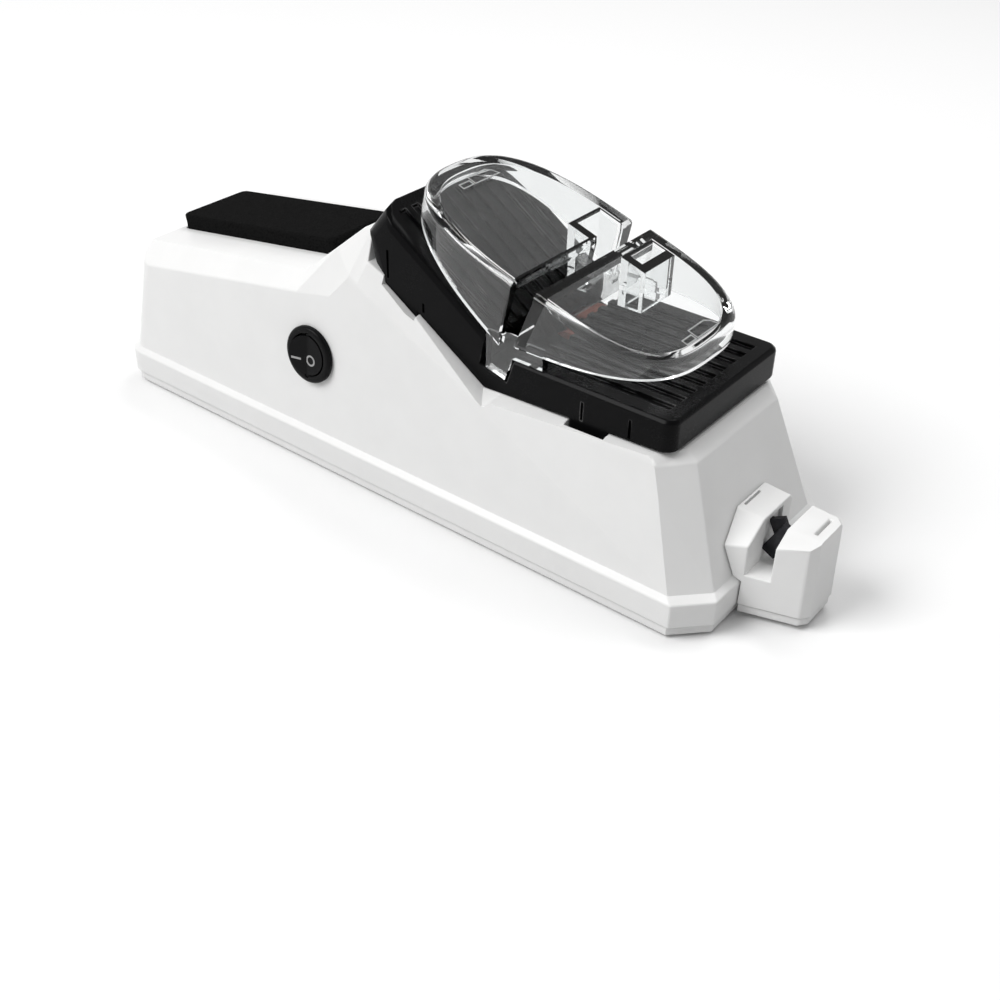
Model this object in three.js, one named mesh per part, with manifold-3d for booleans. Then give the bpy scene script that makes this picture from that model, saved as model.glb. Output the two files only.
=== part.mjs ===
// Electric knife sharpener: white housing, black two-slope blade table with a clear guard over it,
// foam wiping pad on the rear deck and a small pull-through sharpener at the front end.
// Millimetres, +Z up. X runs from the rear end to the pull-through end, and the switch is on the -Y side.

import * as THREE from 'three';
import { ConvexGeometry } from 'three/addons/geometries/ConvexGeometry.js';
import { mergeVertices } from 'three/addons/utils/BufferGeometryUtils.js';
import Module from 'manifold-3d';

const wasm = await Module();
wasm.setup();

// Fits shared by all pieces
const seam = 0.3; // gap left where two pieces meet
const overrun = 2; // how far a cutter runs past the face it cuts
const round_sides = 28;
const small_sides = 16;

// Housing: a box with sloping ends and sides on a wider skirt
const housing_length = 230;
const housing_width = 75;
const housing_wall = 2;
const plate_thickness = 3;
const plate_inset = 0.8;
const skirt_top = 12.3;
const skirt_bevel_height = 1.3;
const ledge_side = 1.8;
const ledge_end = 2.1;
const rear_corner_radius = 8;
const front_chamfer_length = 8.8;
const front_chamfer_width = 9.2;
const top_chamfer_length = 9.8;
const top_chamfer_width = 11.4;
const loft_height = 95; // the bevels are carried on up to here, above everything they trim
const loft_front_x = 143;
const loft_rear_x = 30;
const side_draft_share = 0.09;
const front_slope_share = 0.37;
const rear_slope_share = 0.175;
const section_flare_share = 0.25;

// The folded facet at the front of each side face
const facet_rear_x = 147;
const facet_front_x = 219.6;
const facet_corner_x = 208.1;
const facet_corner_inset = 7.4;

// Top of the housing, from the rear deck over the hump and down under the blade table
const deck_rear_x = 11;
const deck_rear_height = 49.6;
const deck_slope_share = 0.156;
const deck_shoulder_turn_height = 57.5;
const deck_shoulder_slope_share = 0.174;
const deck_side = 10.9; // from the skirt's side to the deck's edge
const well_front_margin = 14;
const hump_foot_x = 82;
const hump_turn_x = 95.3;
const crest_x = 103;
const crest_side = 14.5;

// Blade table: steep slope, valley and gentle slope in one black moulding
const table_side = 9.6; // from the skirt's side to the table's side
const table_wall = 2;
const table_top = 2.2; // thickness of its sloping plates
const ramp_foot_x = 150.4;
const ramp_top_x = 112.2;
const ramp_slope_share = 0.6675;
const ramp_crown = 2.6; // the slope's plate stands this much above its side edges
const ramp_edge_width = 2.8;
const ramp_edge_step = 0.8;
const ramp_edge_rise = 1.7;
const table_back_x = 106.4;
const table_heel_x = 108.5;
const table_knee_x = 114.6;
const table_hollow_x = 150.4;
const table_hollow_height = 46.4;
const table_level_x = 156.9;
const table_front_x = 211.2;
const table_front_corner = 3.5; // rounding of its front corners
const table_corner = 5; // rounding of its rear corners
const gentle_rear_x = 160.3;
const gentle_edge = 1;
const valley_rear_x = 149;
const valley_front_x = 158.3;
const groove_pitch = 5.2;
const groove_width = 2.8;
const groove_depth = 1;
const groove_margin = 3.2;
const groove_end_border = 5;
const tab_length = 12;
const tab_drop = 2.2;
const tab_notch_rise = 5;
const tab_thickness = 1.2;
const tab_rear_x = 114.5;
const tab_front_x = 179.6;

// Heights over the hollow under the table's valley, which the rest of the top moves with
const shoulder_drop = 0.9; // where the ends turn into the bright bevel under the top
const ramp_shoulder_foot_drop = 1.2;
const table_level_rise = 0.4;
const table_front_rise = 2.4;
const valley_front_rise = 4.2;
const valley_rear_rise = 6.8;
const gentle_rise = 11.6;
const ramp_foot_rise = 14.2;
const crest_shoulder_rise = 19.8;
const table_knee_rise = 22.5;
const table_heel_rise = 25.2;
const crest_rise = 32.3;
const table_back_rise = 33.3;
const front_cup_edge_rise = 33.2;
const rear_cup_edge_rise = 34.4;
const wheel_rise = 7.6; // the top of the grinding wheel

// Clear guard: two upturned cups over the slopes, joined in the valley
const guard_wall = 1.8;
const guard_edge_round = 2.2;
const rear_cup_edge_x = 159.4;
const rear_cup_slope_share = 0.325;
const rear_cup_length = 41.5;
const rear_cup_power_share = 2.67;
const rear_cup_foot_x = 156;
const rear_cup_foot_length = 41.3;
const front_cup_edge_x = 166.6;
const front_cup_slope_share = 0.31;
const front_cup_length = 35.8;
const front_cup_power_share = 3;
const front_cup_foot_x = 161;
const front_cup_foot_length = 43.6;
const cup_inset = 1.5; // how far the cups' tops stand inside the table's sides
const cup_foot_spread = 0.7;
const blade_gap = 4.6; // room for a blade between a slope's edge and the cup over it
const pocket_margin = 0.4;
const pocket_rear_start_x = 152.2;
const pocket_front_start_x = 170.5;
const pocket_front_end_x = 174.8;
const guard_foot_rear_x = 151;
const guard_foot_front_x = 157.6;
const guard_foot_thickness = 2.4;
const guard_foot_inset = 0.2;
const guard_bridge_front_x = 170;

// Foam pad on the rear deck
const pad_rear_x = 11;
const pad_front_x = 80.7;
const pad_half = 14;
const pad_thickness = 4.8;
const pad_corner = 2.5;
const pad_recess = 0.6;

// Round rocker switch in the near side face
const switch_x = 88.6;
const switch_height = 37.3;
const bezel_radius = 9;
const bezel_height = 2;
const barrel_radius = 7.4;
const barrel_depth = 14;
const rocker_radius = 6.4;
const rocker_depth = 4.4;
const rocker_room_depth = 5.6;
const rocker_face_height = 0.9;
const rocker_tilt_degrees = 8;
const rocker_pin_radius = 0.8;
const rocker_pin_reach = 7;
const terminal_width = 4;
const terminal_thickness = 0.8;
const terminal_length = 6;
const terminal_spread = 3.5;

// Power inlet in the rear end face
const inlet_height = 21;
const inlet_flange_radius = 5.8;
const inlet_flange_thickness = 1.2;
const inlet_barrel_radius = 4.4;
const inlet_barrel_length = 12;
const inlet_bore_radius = 2.9;
const inlet_bore_depth = 9;
const inlet_pin_radius = 1;

// Motor across the housing, and the grinding wheel on its shaft
const motor_x = 157;
const can_headroom = 3.05; // from the can to the hollow's height
const can_wall = 1.2;
const can_side = 13.5; // from the skirt's side to the can's near end
const can_boss_radius = 4;
const can_boss_length = 2;
const cap_thickness = 3;
const magnet_thickness = 2.4;
const magnet_margin = 3;
const armature_gap = 0.95;
const shaft_radius = 1.5;
const shaft_near_reach = 2.5;
const shaft_far_reach = 5;
const motor_tab_spread = 6;
const motor_tab_length = 2.6;
const motor_tab_width = 3;
const motor_tab_thickness = 0.8;
const wheel_width = 11;
const wheel_side = 15.5; // from the skirt's side to the wheel's far face
const wheel_clearance = 1.2;
const wheel_floor_gap = 2;
const hub_room = 7; // from the wheel to the can
const hub_radius = 5;
const hub_flange_radius = 9;
const hub_flange_thickness = 2;
const hub_lip = 1.2;
const nut_radius = 3.6;
const nut_height = 2.6;

// Cradle under the motor and the steel strap over it
const cradle_half = 21;
const cradle_end_thickness = 3;
const cradle_centre_width = 9;
const cradle_inset = 2;
const strap_thickness = 1;
const strap_width = 7;
const strap_ear = 6;

// Screws
const screw_radius = 1.4;
const screw_head_radius = 2.7;
const screw_head_height = 1.6;
const screw_length = 11;
const post_radius = 3.6;
const screw_thread_room = 1;
const rear_post_x = 24;
const rear_post_side = 14.5;
const front_post_x = 204;
const front_post_side = 18.5;

// Rubber feet let into the base plate
const foot_radius = 6;
const foot_thickness = 2;
const foot_stand = 1;
const foot_rear_x = 13;
const foot_front_x = 214;
const foot_rear_side = 11.5;
const foot_front_side = 13.5;

// Pull-through sharpener at the front end
const block_outer_x = 248.5;
const block_inner_x = 214;
const block_near_y = -11.5; // its outer face's edges
const block_far_y = 5.2;
const block_near_taper_share = 0.3;
const block_far_taper_share = 0.11;
const block_bottom = 0.8;
const block_top = 28;
const block_lean = 0.8; // how much its outer face comes in towards the top
const block_ridge_y = -9; // where the top turns down to the near side
const block_ridge_slope_share = 0.66;
const block_edge_round = 2;
const block_far_round = 1.4;
const block_seam_height = 2.8;
const block_lid_inset = 0.5;
const slot_rear_x = 231;
const slot_front_x = 237.6;
const slot_floor = 13.6;
const slot_floor_inset = 1;
const slot_side_inset = 1;
const slit_rear_x = 223.1;
const slit_outer_x = 244.2;
const slit_width = 0.8;
const slit_depth = 2.4;
const slit_near_y = -6.5;
const slit_far_y = 2;
const cartridge_outer_x = 241.4;
const cartridge_near_y = -7.6;
const cartridge_far_y = 1.4;
const cartridge_bottom = 9.6;
const cartridge_roof = 1.2;
const stone_width = 4.6;
const stone_thickness = 1.8;
const stone_length = 11.5;
const stone_lean_degrees = 28;
const stone_cross_height = 20;
const stone_near_y = -5.6;
const stone_far_y = -3.2;
const block_screw_height = 20;
const block_screw_near_y = -13.5;
const block_screw_far_y = 4.2;
const block_screw_length = 9;

// Leads inside the housing
const lead_radius = 0.8;
const lead_sides = 8;
const lead_steps = 26;
const lead_spread = 2;
const lead_low = 12;
const lead_near_y = -13.5;

// Sizes that follow from those above
const half_width = housing_width / 2;
const facet_corner_half = half_width - facet_corner_inset;
const deck_half = half_width - deck_side;
const crest_half = half_width - crest_side;
const table_half = half_width - table_side;
const shoulder_height = table_hollow_height - shoulder_drop;
const ramp_shoulder_foot_height = table_hollow_height - ramp_shoulder_foot_drop;
const table_level_height = table_hollow_height + table_level_rise;
const table_front_height = table_hollow_height + table_front_rise;
const valley_front_height = table_hollow_height + valley_front_rise;
const valley_rear_height = table_hollow_height + valley_rear_rise;
const gentle_height = table_hollow_height + gentle_rise;
const ramp_foot_height = table_hollow_height + ramp_foot_rise;
const crest_shoulder = table_hollow_height + crest_shoulder_rise;
const table_knee_height = table_hollow_height + table_knee_rise;
const table_heel_height = table_hollow_height + table_heel_rise;
const crest_height = table_hollow_height + crest_rise;
const table_back_height = table_hollow_height + table_back_rise;
const front_cup_edge_height = table_hollow_height + front_cup_edge_rise;
const rear_cup_edge_height = table_hollow_height + rear_cup_edge_rise;
const cup_half = table_half - cup_inset;
const cup_foot_half = table_half + cup_foot_spread;
const guard_foot_half = table_half - guard_foot_inset;
const wheel_top = table_hollow_height + wheel_rise;
const wheel_bottom = plate_thickness + wheel_floor_gap;
const wheel_radius = (wheel_top - wheel_bottom) / 2;
const motor_height = (wheel_top + wheel_bottom) / 2;
const can_radius = table_hollow_height - motor_height - can_headroom;
const armature_radius = can_radius - can_wall - seam - magnet_thickness - armature_gap;
const wheel_far_y = half_width - wheel_side;
const wheel_near_y = wheel_far_y - wheel_width;
const pocket_near_y = wheel_near_y - pocket_margin;
const pocket_far_y = wheel_far_y + pocket_margin;
const can_near_y = can_side - half_width;
const can_far_y = wheel_near_y - hub_room;
const shaft_near_y = can_near_y - shaft_near_reach;
const shaft_far_y = wheel_far_y + shaft_far_reach;
const rear_post_y = half_width - rear_post_side;
const front_post_y = half_width - front_post_side;
const foot_rear_y = half_width - foot_rear_side;
const foot_front_y = half_width - foot_front_side;

// Helpers: solids from three.js geometries, joined and cut
function toSolid(geometry) {
  const bare = geometry.clone();
  bare.deleteAttribute('normal');
  bare.deleteAttribute('uv');
  const merged = mergeVertices(bare);
  return new wasm.Manifold(new wasm.Mesh({
    numProp: 3,
    vertProperties: new Float32Array(merged.attributes.position.array),
    triVerts: new Uint32Array(merged.index.array),
  }));
}

function toGeometry(solid) {
  const mesh = solid.getMesh();
  const geometry = new THREE.BufferGeometry();
  geometry.setAttribute('position', new THREE.BufferAttribute(new Float32Array(mesh.vertProperties), 3));
  geometry.setIndex(new THREE.BufferAttribute(new Uint32Array(mesh.triVerts), 1));
  geometry.computeVertexNormals();
  return geometry;
}

const at = (x, y, z) => new THREE.Vector3(x, y, z);

function hull(points) {
  return toSolid(new ConvexGeometry(points));
}

function box(from, to) {
  const size = at(to.x - from.x, to.y - from.y, to.z - from.z);
  const geometry = new THREE.BoxGeometry(size.x, size.y, size.z);
  geometry.translate((from.x + to.x) / 2, (from.y + to.y) / 2, (from.z + to.z) / 2);
  return toSolid(geometry);
}

// A round bar between two points
function rod(radius, from, to, sides = round_sides) {
  const along = to.clone().sub(from);
  const geometry = new THREE.CylinderGeometry(radius, radius, along.length(), sides);
  const turn = new THREE.Quaternion().setFromUnitVectors(at(0, 1, 0), along.clone().normalize());
  geometry.applyQuaternion(turn);
  geometry.translate((from.x + to.x) / 2, (from.y + to.y) / 2, (from.z + to.z) / 2);
  return toSolid(geometry);
}

// An outline in X and Z carried across from one Y to another
function across(outline, from_y, to_y) {
  const shape = new THREE.Shape(outline.map(([x, z]) => new THREE.Vector2(x, z)));
  const geometry = new THREE.ExtrudeGeometry(shape, { depth: to_y - from_y, bevelEnabled: false });
  geometry.applyMatrix4(new THREE.Matrix4().makeBasis(at(1, 0, 0), at(0, 0, 1), at(0, -1, 0)));
  geometry.translate(0, to_y, 0);
  return toSolid(geometry);
}

// A turned piece on the motor's axis: its outline is a list of [radius, y], outer side first, rising in y
function turned(outline, sides = round_sides) {
  const closed = [...outline, outline[0]];
  const geometry = new THREE.LatheGeometry(closed.map(([r, y]) => new THREE.Vector2(r, y)), sides);
  geometry.translate(motor_x, 0, motor_height);
  return toSolid(geometry);
}

function bothSides(make) {
  return make(1).add(make(-1));
}

const finishes = {
  white: { color: 0xf4f4f2, roughness: 0.5, metalness: 0 },
  black: { color: 0x111111, roughness: 0.3, metalness: 0 },
  rubber: { color: 0x1a1a1a, roughness: 0.9, metalness: 0 },
  foam: { color: 0x0c0c0c, roughness: 1, metalness: 0 },
  clear: { color: 0xdfe8ec, roughness: 0.05, metalness: 0, transparent: true, opacity: 0.35 },
  steel: { color: 0xb8babd, roughness: 0.35, metalness: 1 },
  zinc: { color: 0x9a9ca0, roughness: 0.45, metalness: 1 },
  brass: { color: 0xc8a24a, roughness: 0.35, metalness: 1 },
  magnet: { color: 0x3a3a3c, roughness: 0.7, metalness: 0.2 },
  stone: { color: 0x9c4a3a, roughness: 0.95, metalness: 0 },
  carbide: { color: 0x26272a, roughness: 0.4, metalness: 0.7 },
  red: { color: 0xa01818, roughness: 0.6, metalness: 0 },
  lead: { color: 0x181818, roughness: 0.6, metalness: 0 },
};

const sharpener = new THREE.Group();

function addPiece(name, geometry, finish, parent = sharpener) {
  const mesh = new THREE.Mesh(geometry, new THREE.MeshStandardMaterial(finishes[finish]));
  mesh.name = name;
  parent.add(mesh);
  return mesh;
}

// Housing outline at a height: rounded rear corners and chamfered front corners
function ring(half, rear_x, front_x, chamfer_length, chamfer_width, height, radius) {
  const points = [];
  const corner_steps = 4;
  for (const side of [-1, 1]) {
    for (let step = 0; step <= corner_steps; step += 1) {
      const angle = (Math.PI / 2) * (step / corner_steps);
      const x = rear_x + radius * (1 - Math.cos(angle));
      points.push(at(x, side * (half - radius * (1 - Math.sin(angle))), height));
    }
    points.push(at(front_x - chamfer_length, side * half, height));
    points.push(at(front_x, side * (half - chamfer_width), height));
  }
  return points;
}

function sideHalf(height, inset) {
  return half_width - ledge_side - side_draft_share * (height - skirt_top) - inset;
}

function bodyRing(height, inset) {
  const up = (height - skirt_top) / (shoulder_height - skirt_top);
  const rise = height - skirt_top;
  return ring(
    sideHalf(height, inset),
    ledge_end + rear_slope_share * rise + inset,
    housing_length - ledge_end - front_slope_share * rise - inset,
    front_chamfer_length + (top_chamfer_length - front_chamfer_length) * up,
    front_chamfer_width + (top_chamfer_width - front_chamfer_width) * up,
    height,
    rear_corner_radius - ledge_side,
  );
}

// The plane of the front facet gives the half width at any x and height
const facetHalf = (() => {
  const rear_half = sideHalf(ramp_shoulder_foot_height, 0);
  const front_half = sideHalf(skirt_top, 0);
  const plane = new THREE.Plane().setFromCoplanarPoints(
    at(facet_rear_x, rear_half, ramp_shoulder_foot_height),
    at(facet_front_x, front_half, skirt_top),
    at(facet_corner_x, facet_corner_half, shoulder_height),
  );
  const { normal, constant } = plane;
  return (x, z, inset) => -(constant + normal.x * x + normal.z * z) / normal.y - inset;
})();

function deckHeight(x) {
  return deck_rear_height + deck_slope_share * (x - deck_rear_x);
}

function deckShoulder(x) {
  return deck_shoulder_turn_height - deck_shoulder_slope_share * (hump_turn_x - x);
}

// Sections of the housing's top, from the rear to the front: x, shoulder height, top height, top half width
const ramp_shoulder_share = (crest_shoulder - ramp_shoulder_foot_height) / (table_hollow_x - crest_x);
const top_sections = [
  [0, deckShoulder(0), deckHeight(0), deck_half],
  [hump_foot_x, deckShoulder(hump_foot_x), deckHeight(hump_foot_x), deck_half],
  [hump_turn_x, deckShoulder(hump_turn_x), table_heel_height, deck_half],
  [crest_x, crest_shoulder, crest_height, crest_half],
  [
    table_back_x - seam,
    crest_shoulder - ramp_shoulder_share * (table_back_x - crest_x),
    table_back_height - seam,
    crest_half,
  ],
  [
    table_heel_x - seam,
    crest_shoulder - ramp_shoulder_share * (table_heel_x - crest_x),
    table_heel_height - seam,
    table_half,
  ],
  [
    table_knee_x,
    crest_shoulder - ramp_shoulder_share * (table_knee_x - crest_x),
    table_knee_height - seam,
    table_half,
  ],
  [table_hollow_x, ramp_shoulder_foot_height, table_hollow_height - seam, table_half],
  [table_level_x, ramp_shoulder_foot_height, table_level_height - seam, table_half],
  [housing_length, shoulder_height, table_front_height - seam, table_half],
];

function topSection([x, shoulder, top, half], inset, bottom) {
  const level = Math.min(shoulder, top) - inset;
  const wide = Math.min(sideHalf(shoulder, inset), facetHalf(x, shoulder, inset));
  const flare = section_flare_share * (level - bottom);
  return [-1, 1].flatMap((side) => [
    at(x, side * (wide + flare), bottom),
    at(x, side * wide, level),
    at(x, side * (half - inset), top - inset),
  ]);
}

// The whole body above the skirt, drawn in by a wall thickness where asked
function housingBody(inset) {
  const bottom = skirt_top - Math.max(inset, 0);
  let body = null;
  for (let index = 1; index < top_sections.length; index += 1) {
    const rear = topSection(top_sections[index - 1], inset, bottom);
    const front = topSection(top_sections[index], inset, bottom);
    const stretch = hull([...rear, ...front]);
    body = body ? body.add(stretch) : stretch;
  }
  const loft_rise = loft_height - skirt_top;
  const loft = ring(
    sideHalf(loft_height, inset),
    loft_rear_x + inset,
    loft_front_x - inset,
    top_chamfer_length,
    top_chamfer_width,
    loft_height,
    rear_corner_radius,
  );
  const ends = hull([...bodyRing(bottom, inset), ...bodyRing(shoulder_height, inset), ...loft]);
  const facets = [];
  for (const x of [-overrun, housing_length + overrun]) {
    for (const z of [0, skirt_top + loft_rise]) {
      for (const side of [-1, 1]) {
        facets.push(at(x, side * facetHalf(x, z, inset), z));
      }
    }
  }
  return body.intersect(ends).intersect(hull(facets));
}

function skirtRing(height, inset) {
  return ring(
    half_width - inset,
    inset,
    housing_length - inset,
    front_chamfer_length,
    front_chamfer_width,
    height,
    rear_corner_radius,
  );
}

function skirtBody(inset, bottom, top) {
  const bevel_ring = ring(
    half_width - ledge_side - inset,
    ledge_end + inset,
    housing_length - ledge_end - inset,
    front_chamfer_length,
    front_chamfer_width,
    top,
    rear_corner_radius - ledge_side,
  );
  return hull([...skirtRing(bottom, inset), ...skirtRing(top - skirt_bevel_height, inset), ...bevel_ring]);
}

const whole_body = housingBody(0).add(skirtBody(0, plate_thickness + seam, skirt_top));
const inner_body = housingBody(housing_wall)
  .add(skirtBody(housing_wall, plate_thickness - overrun, skirt_top - housing_wall / 2));

// Where the four base screws, their posts and the feet stand
const base_points = [
  ['rear_near', rear_post_x, -rear_post_y],
  ['rear_far', rear_post_x, rear_post_y],
  ['front_near', front_post_x, -front_post_y],
  ['front_far', front_post_x, front_post_y],
];
const foot_points = [
  ['rear_near', foot_rear_x, -foot_rear_y],
  ['rear_far', foot_rear_x, foot_rear_y],
  ['front_near', foot_front_x, -foot_front_y],
  ['front_far', foot_front_x, foot_front_y],
];

// A group whose own Z points straight out of the near side face, at the switch
const switch_seat = new THREE.Group();
switch_seat.position.set(switch_x, -sideHalf(switch_height, 0), switch_height);
switch_seat.quaternion.setFromRotationMatrix(new THREE.Matrix4().makeBasis(
  at(1, 0, 0),
  at(0, side_draft_share, 1).normalize(),
  at(0, -1, side_draft_share).normalize(),
));
switch_seat.updateMatrix();
sharpener.add(switch_seat);

// A group whose own Z points straight out of the rear end face, at the inlet
const inlet_seat = new THREE.Group();
inlet_seat.position.set(ledge_end + rear_slope_share * (inlet_height - skirt_top), 0, inlet_height);
inlet_seat.quaternion.setFromRotationMatrix(new THREE.Matrix4().makeBasis(
  at(0, -1, 0),
  at(rear_slope_share, 0, 1).normalize(),
  at(-1, 0, rear_slope_share).normalize(),
));
inlet_seat.updateMatrix();
sharpener.add(inlet_seat);

function seated(geometry, seat) {
  return toSolid(geometry.clone().applyMatrix4(seat.matrix));
}

function disc(radius, from_z, to_z, sides = round_sides) {
  const geometry = new THREE.CylinderGeometry(radius, radius, to_z - from_z, sides);
  geometry.rotateX(Math.PI / 2);
  geometry.translate(0, 0, (from_z + to_z) / 2);
  return geometry;
}

// Foam pad, parallel to the rear deck and let into it
const pad_seat = new THREE.Group();
pad_seat.position.set(pad_rear_x, 0, deckHeight(pad_rear_x) - pad_recess);
pad_seat.rotation.y = -Math.atan(deck_slope_share);
pad_seat.updateMatrix();
const pad_length = (pad_front_x - pad_rear_x) * Math.hypot(1, deck_slope_share);

function padSlab(margin, bottom, top) {
  const half = pad_half + margin;
  const shape = new THREE.Shape();
  shape.moveTo(pad_corner - margin, -half);
  shape.lineTo(pad_length - pad_corner + margin, -half);
  shape.quadraticCurveTo(pad_length + margin, -half, pad_length + margin, pad_corner - half);
  shape.lineTo(pad_length + margin, half - pad_corner);
  shape.quadraticCurveTo(pad_length + margin, half, pad_length - pad_corner + margin, half);
  shape.lineTo(pad_corner - margin, half);
  shape.quadraticCurveTo(-margin, half, -margin, half - pad_corner);
  shape.lineTo(-margin, pad_corner - half);
  shape.quadraticCurveTo(-margin, -half, pad_corner - margin, -half);
  const corner_steps = 4;
  const geometry = new THREE.ExtrudeGeometry(shape, {
    depth: top - bottom,
    bevelEnabled: false,
    curveSegments: corner_steps,
  });
  geometry.translate(0, 0, bottom);
  return geometry;
}

// Upper housing: one moulding, open below, with an opening under the blade table
const well_front_x = table_front_x - well_front_margin;
const well_half = table_half - 2 * table_wall;
const well = box(
  at(table_knee_x + table_wall, -well_half, skirt_top),
  at(well_front_x, well_half, loft_height),
);
sharpener.add(pad_seat);
const posts = base_points.map(([, x, y]) => rod(
  post_radius,
  at(x, y, plate_thickness + seam),
  at(x, y, loft_height),
  small_sides,
)).reduce((all, post) => all.add(post));
const post_bores = base_points.map(([, x, y]) => rod(
  screw_radius + seam,
  at(x, y, 0),
  at(x, y, screw_length + screw_thread_room),
  small_sides,
)).reduce((all, bore) => all.add(bore));

// Lower edge of the table's side wall at an x on its steep part
function tableEdgeHeight(x) {
  const run = (x - table_knee_x) / (table_hollow_x - table_knee_x);
  return x < table_hollow_x
    ? table_knee_height + (table_hollow_height - table_knee_height) * run
    : table_level_height;
}

// A snap tab of the table at one side, or with a margin the notch for it
function snapTab(x, side, margin) {
  const inner_y = side * (table_half - tab_thickness - margin);
  const outer_y = side * (table_half + (margin ? overrun : 0));
  const lower = (end_x) => tableEdgeHeight(end_x) - tab_drop - margin;
  const upper = (end_x) => tableEdgeHeight(end_x) + (margin ? tab_notch_rise : tab_drop);
  return across([
    [x - margin, lower(x)],
    [x + tab_length + margin, lower(x + tab_length)],
    [x + tab_length + margin, upper(x + tab_length)],
    [x - margin, upper(x)],
  ], Math.min(inner_y, outer_y), Math.max(inner_y, outer_y));
}

function snapTabs(margin) {
  return bothSides((side) => snapTab(tab_rear_x, side, margin).add(snapTab(tab_front_x, side, margin)));
}

const block_screw_points = [block_screw_near_y, block_screw_far_y];
const block_screw_face_x = housing_length - ledge_end
  - front_slope_share * (block_screw_height - skirt_top) - housing_wall;
const block_screw_head_x = block_screw_face_x - front_slope_share * screw_head_radius
  - seam - screw_head_height;
const block_screw_end_x = block_screw_head_x + block_screw_length + seam;

function blockScrewBores(from_x, to_x) {
  return block_screw_points.map((y) => rod(
    screw_radius + seam,
    at(from_x, y, block_screw_height),
    at(to_x, y, block_screw_height),
    small_sides,
  )).reduce((all, bore) => all.add(bore));
}

const upper_housing = whole_body
  .subtract(inner_body)
  .add(posts.intersect(whole_body))
  .subtract(post_bores)
  .subtract(well)
  .subtract(seated(padSlab(seam, 0, pad_thickness), pad_seat))
  .subtract(snapTabs(seam))
  .subtract(blockScrewBores(block_screw_face_x - overrun, housing_length + overrun))
  .subtract(seated(disc(barrel_radius + seam, -barrel_depth, overrun), switch_seat))
  .subtract(seated(disc(inlet_barrel_radius + seam, -inlet_barrel_length, overrun), inlet_seat));
addPiece('upper_housing', toGeometry(upper_housing), 'white');

// Base plate: flat cover with recesses for the feet and counterbores for the screws
const cradle_near_y = can_near_y + cradle_inset;
const cradle_far_y = can_far_y - cradle_inset;
const cradle_centre_y = (cradle_near_y + cradle_far_y) / 2;

function cradleRib(from_y, to_y) {
  return box(
    at(motor_x - cradle_half, from_y, plate_thickness - seam),
    at(motor_x + cradle_half, to_y, motor_height - seam),
  );
}

const trough = rod(
  can_radius + seam,
  at(motor_x, can_near_y - overrun, motor_height),
  at(motor_x, can_far_y + overrun, motor_height),
);
const ear_x = can_radius + strap_thickness + strap_ear / 2;
const ear_points = [-ear_x, ear_x];
const ear_bores = ear_points.map((x) => rod(
  screw_radius + seam,
  at(motor_x + x, cradle_centre_y, motor_height - screw_length),
  at(motor_x + x, cradle_centre_y, motor_height + overrun),
  small_sides,
)).reduce((all, bore) => all.add(bore));
const cradle = cradleRib(cradle_near_y, cradle_near_y + cradle_end_thickness)
  .add(cradleRib(cradle_centre_y - cradle_centre_width / 2, cradle_centre_y + cradle_centre_width / 2))
  .add(cradleRib(cradle_far_y - cradle_end_thickness, cradle_far_y))
  .subtract(trough)
  .subtract(ear_bores);
const foot_recesses = foot_points.map(([, x, y]) => rod(
  foot_radius + seam,
  at(x, y, -overrun),
  at(x, y, foot_thickness - foot_stand + seam),
)).reduce((all, recess) => all.add(recess));
const counterbores = base_points.map(([, x, y]) => rod(
  screw_head_radius + seam,
  at(x, y, -overrun),
  at(x, y, screw_head_height + seam),
  small_sides,
)).reduce((all, bore) => all.add(bore));
const base_plate = hull([...skirtRing(0, plate_inset), ...skirtRing(plate_thickness, plate_inset)])
  .add(cradle)
  .subtract(post_bores)
  .subtract(foot_recesses)
  .subtract(counterbores);
addPiece('base_plate', toGeometry(base_plate), 'white');

// Screws: a flat round head and a plain shank, head first from where they are driven
function screw(head_at, direction, length = screw_length) {
  const way = direction.clone().normalize();
  const shank_start = head_at.clone().addScaledVector(way, screw_head_height / 2);
  const head_end = head_at.clone().addScaledVector(way, screw_head_height);
  const tip = head_at.clone().addScaledVector(way, length);
  return rod(screw_head_radius, head_at, head_end, small_sides)
    .add(rod(screw_radius, shank_start, tip, small_sides));
}

for (const [place, x, y] of base_points) {
  addPiece(`base_screw_${place}`, toGeometry(screw(at(x, y, 0), at(0, 0, 1))), 'zinc');
}
for (const [place, x, y] of foot_points) {
  const foot = rod(foot_radius, at(x, y, -foot_stand), at(x, y, foot_thickness - foot_stand));
  addPiece(`foot_${place}`, toGeometry(foot), 'rubber');
}

// Blade table: a shell with a steep and a gentle plate, open below
function rampHeight(x) {
  return ramp_foot_height + ramp_slope_share * (ramp_foot_x - x);
}

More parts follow.
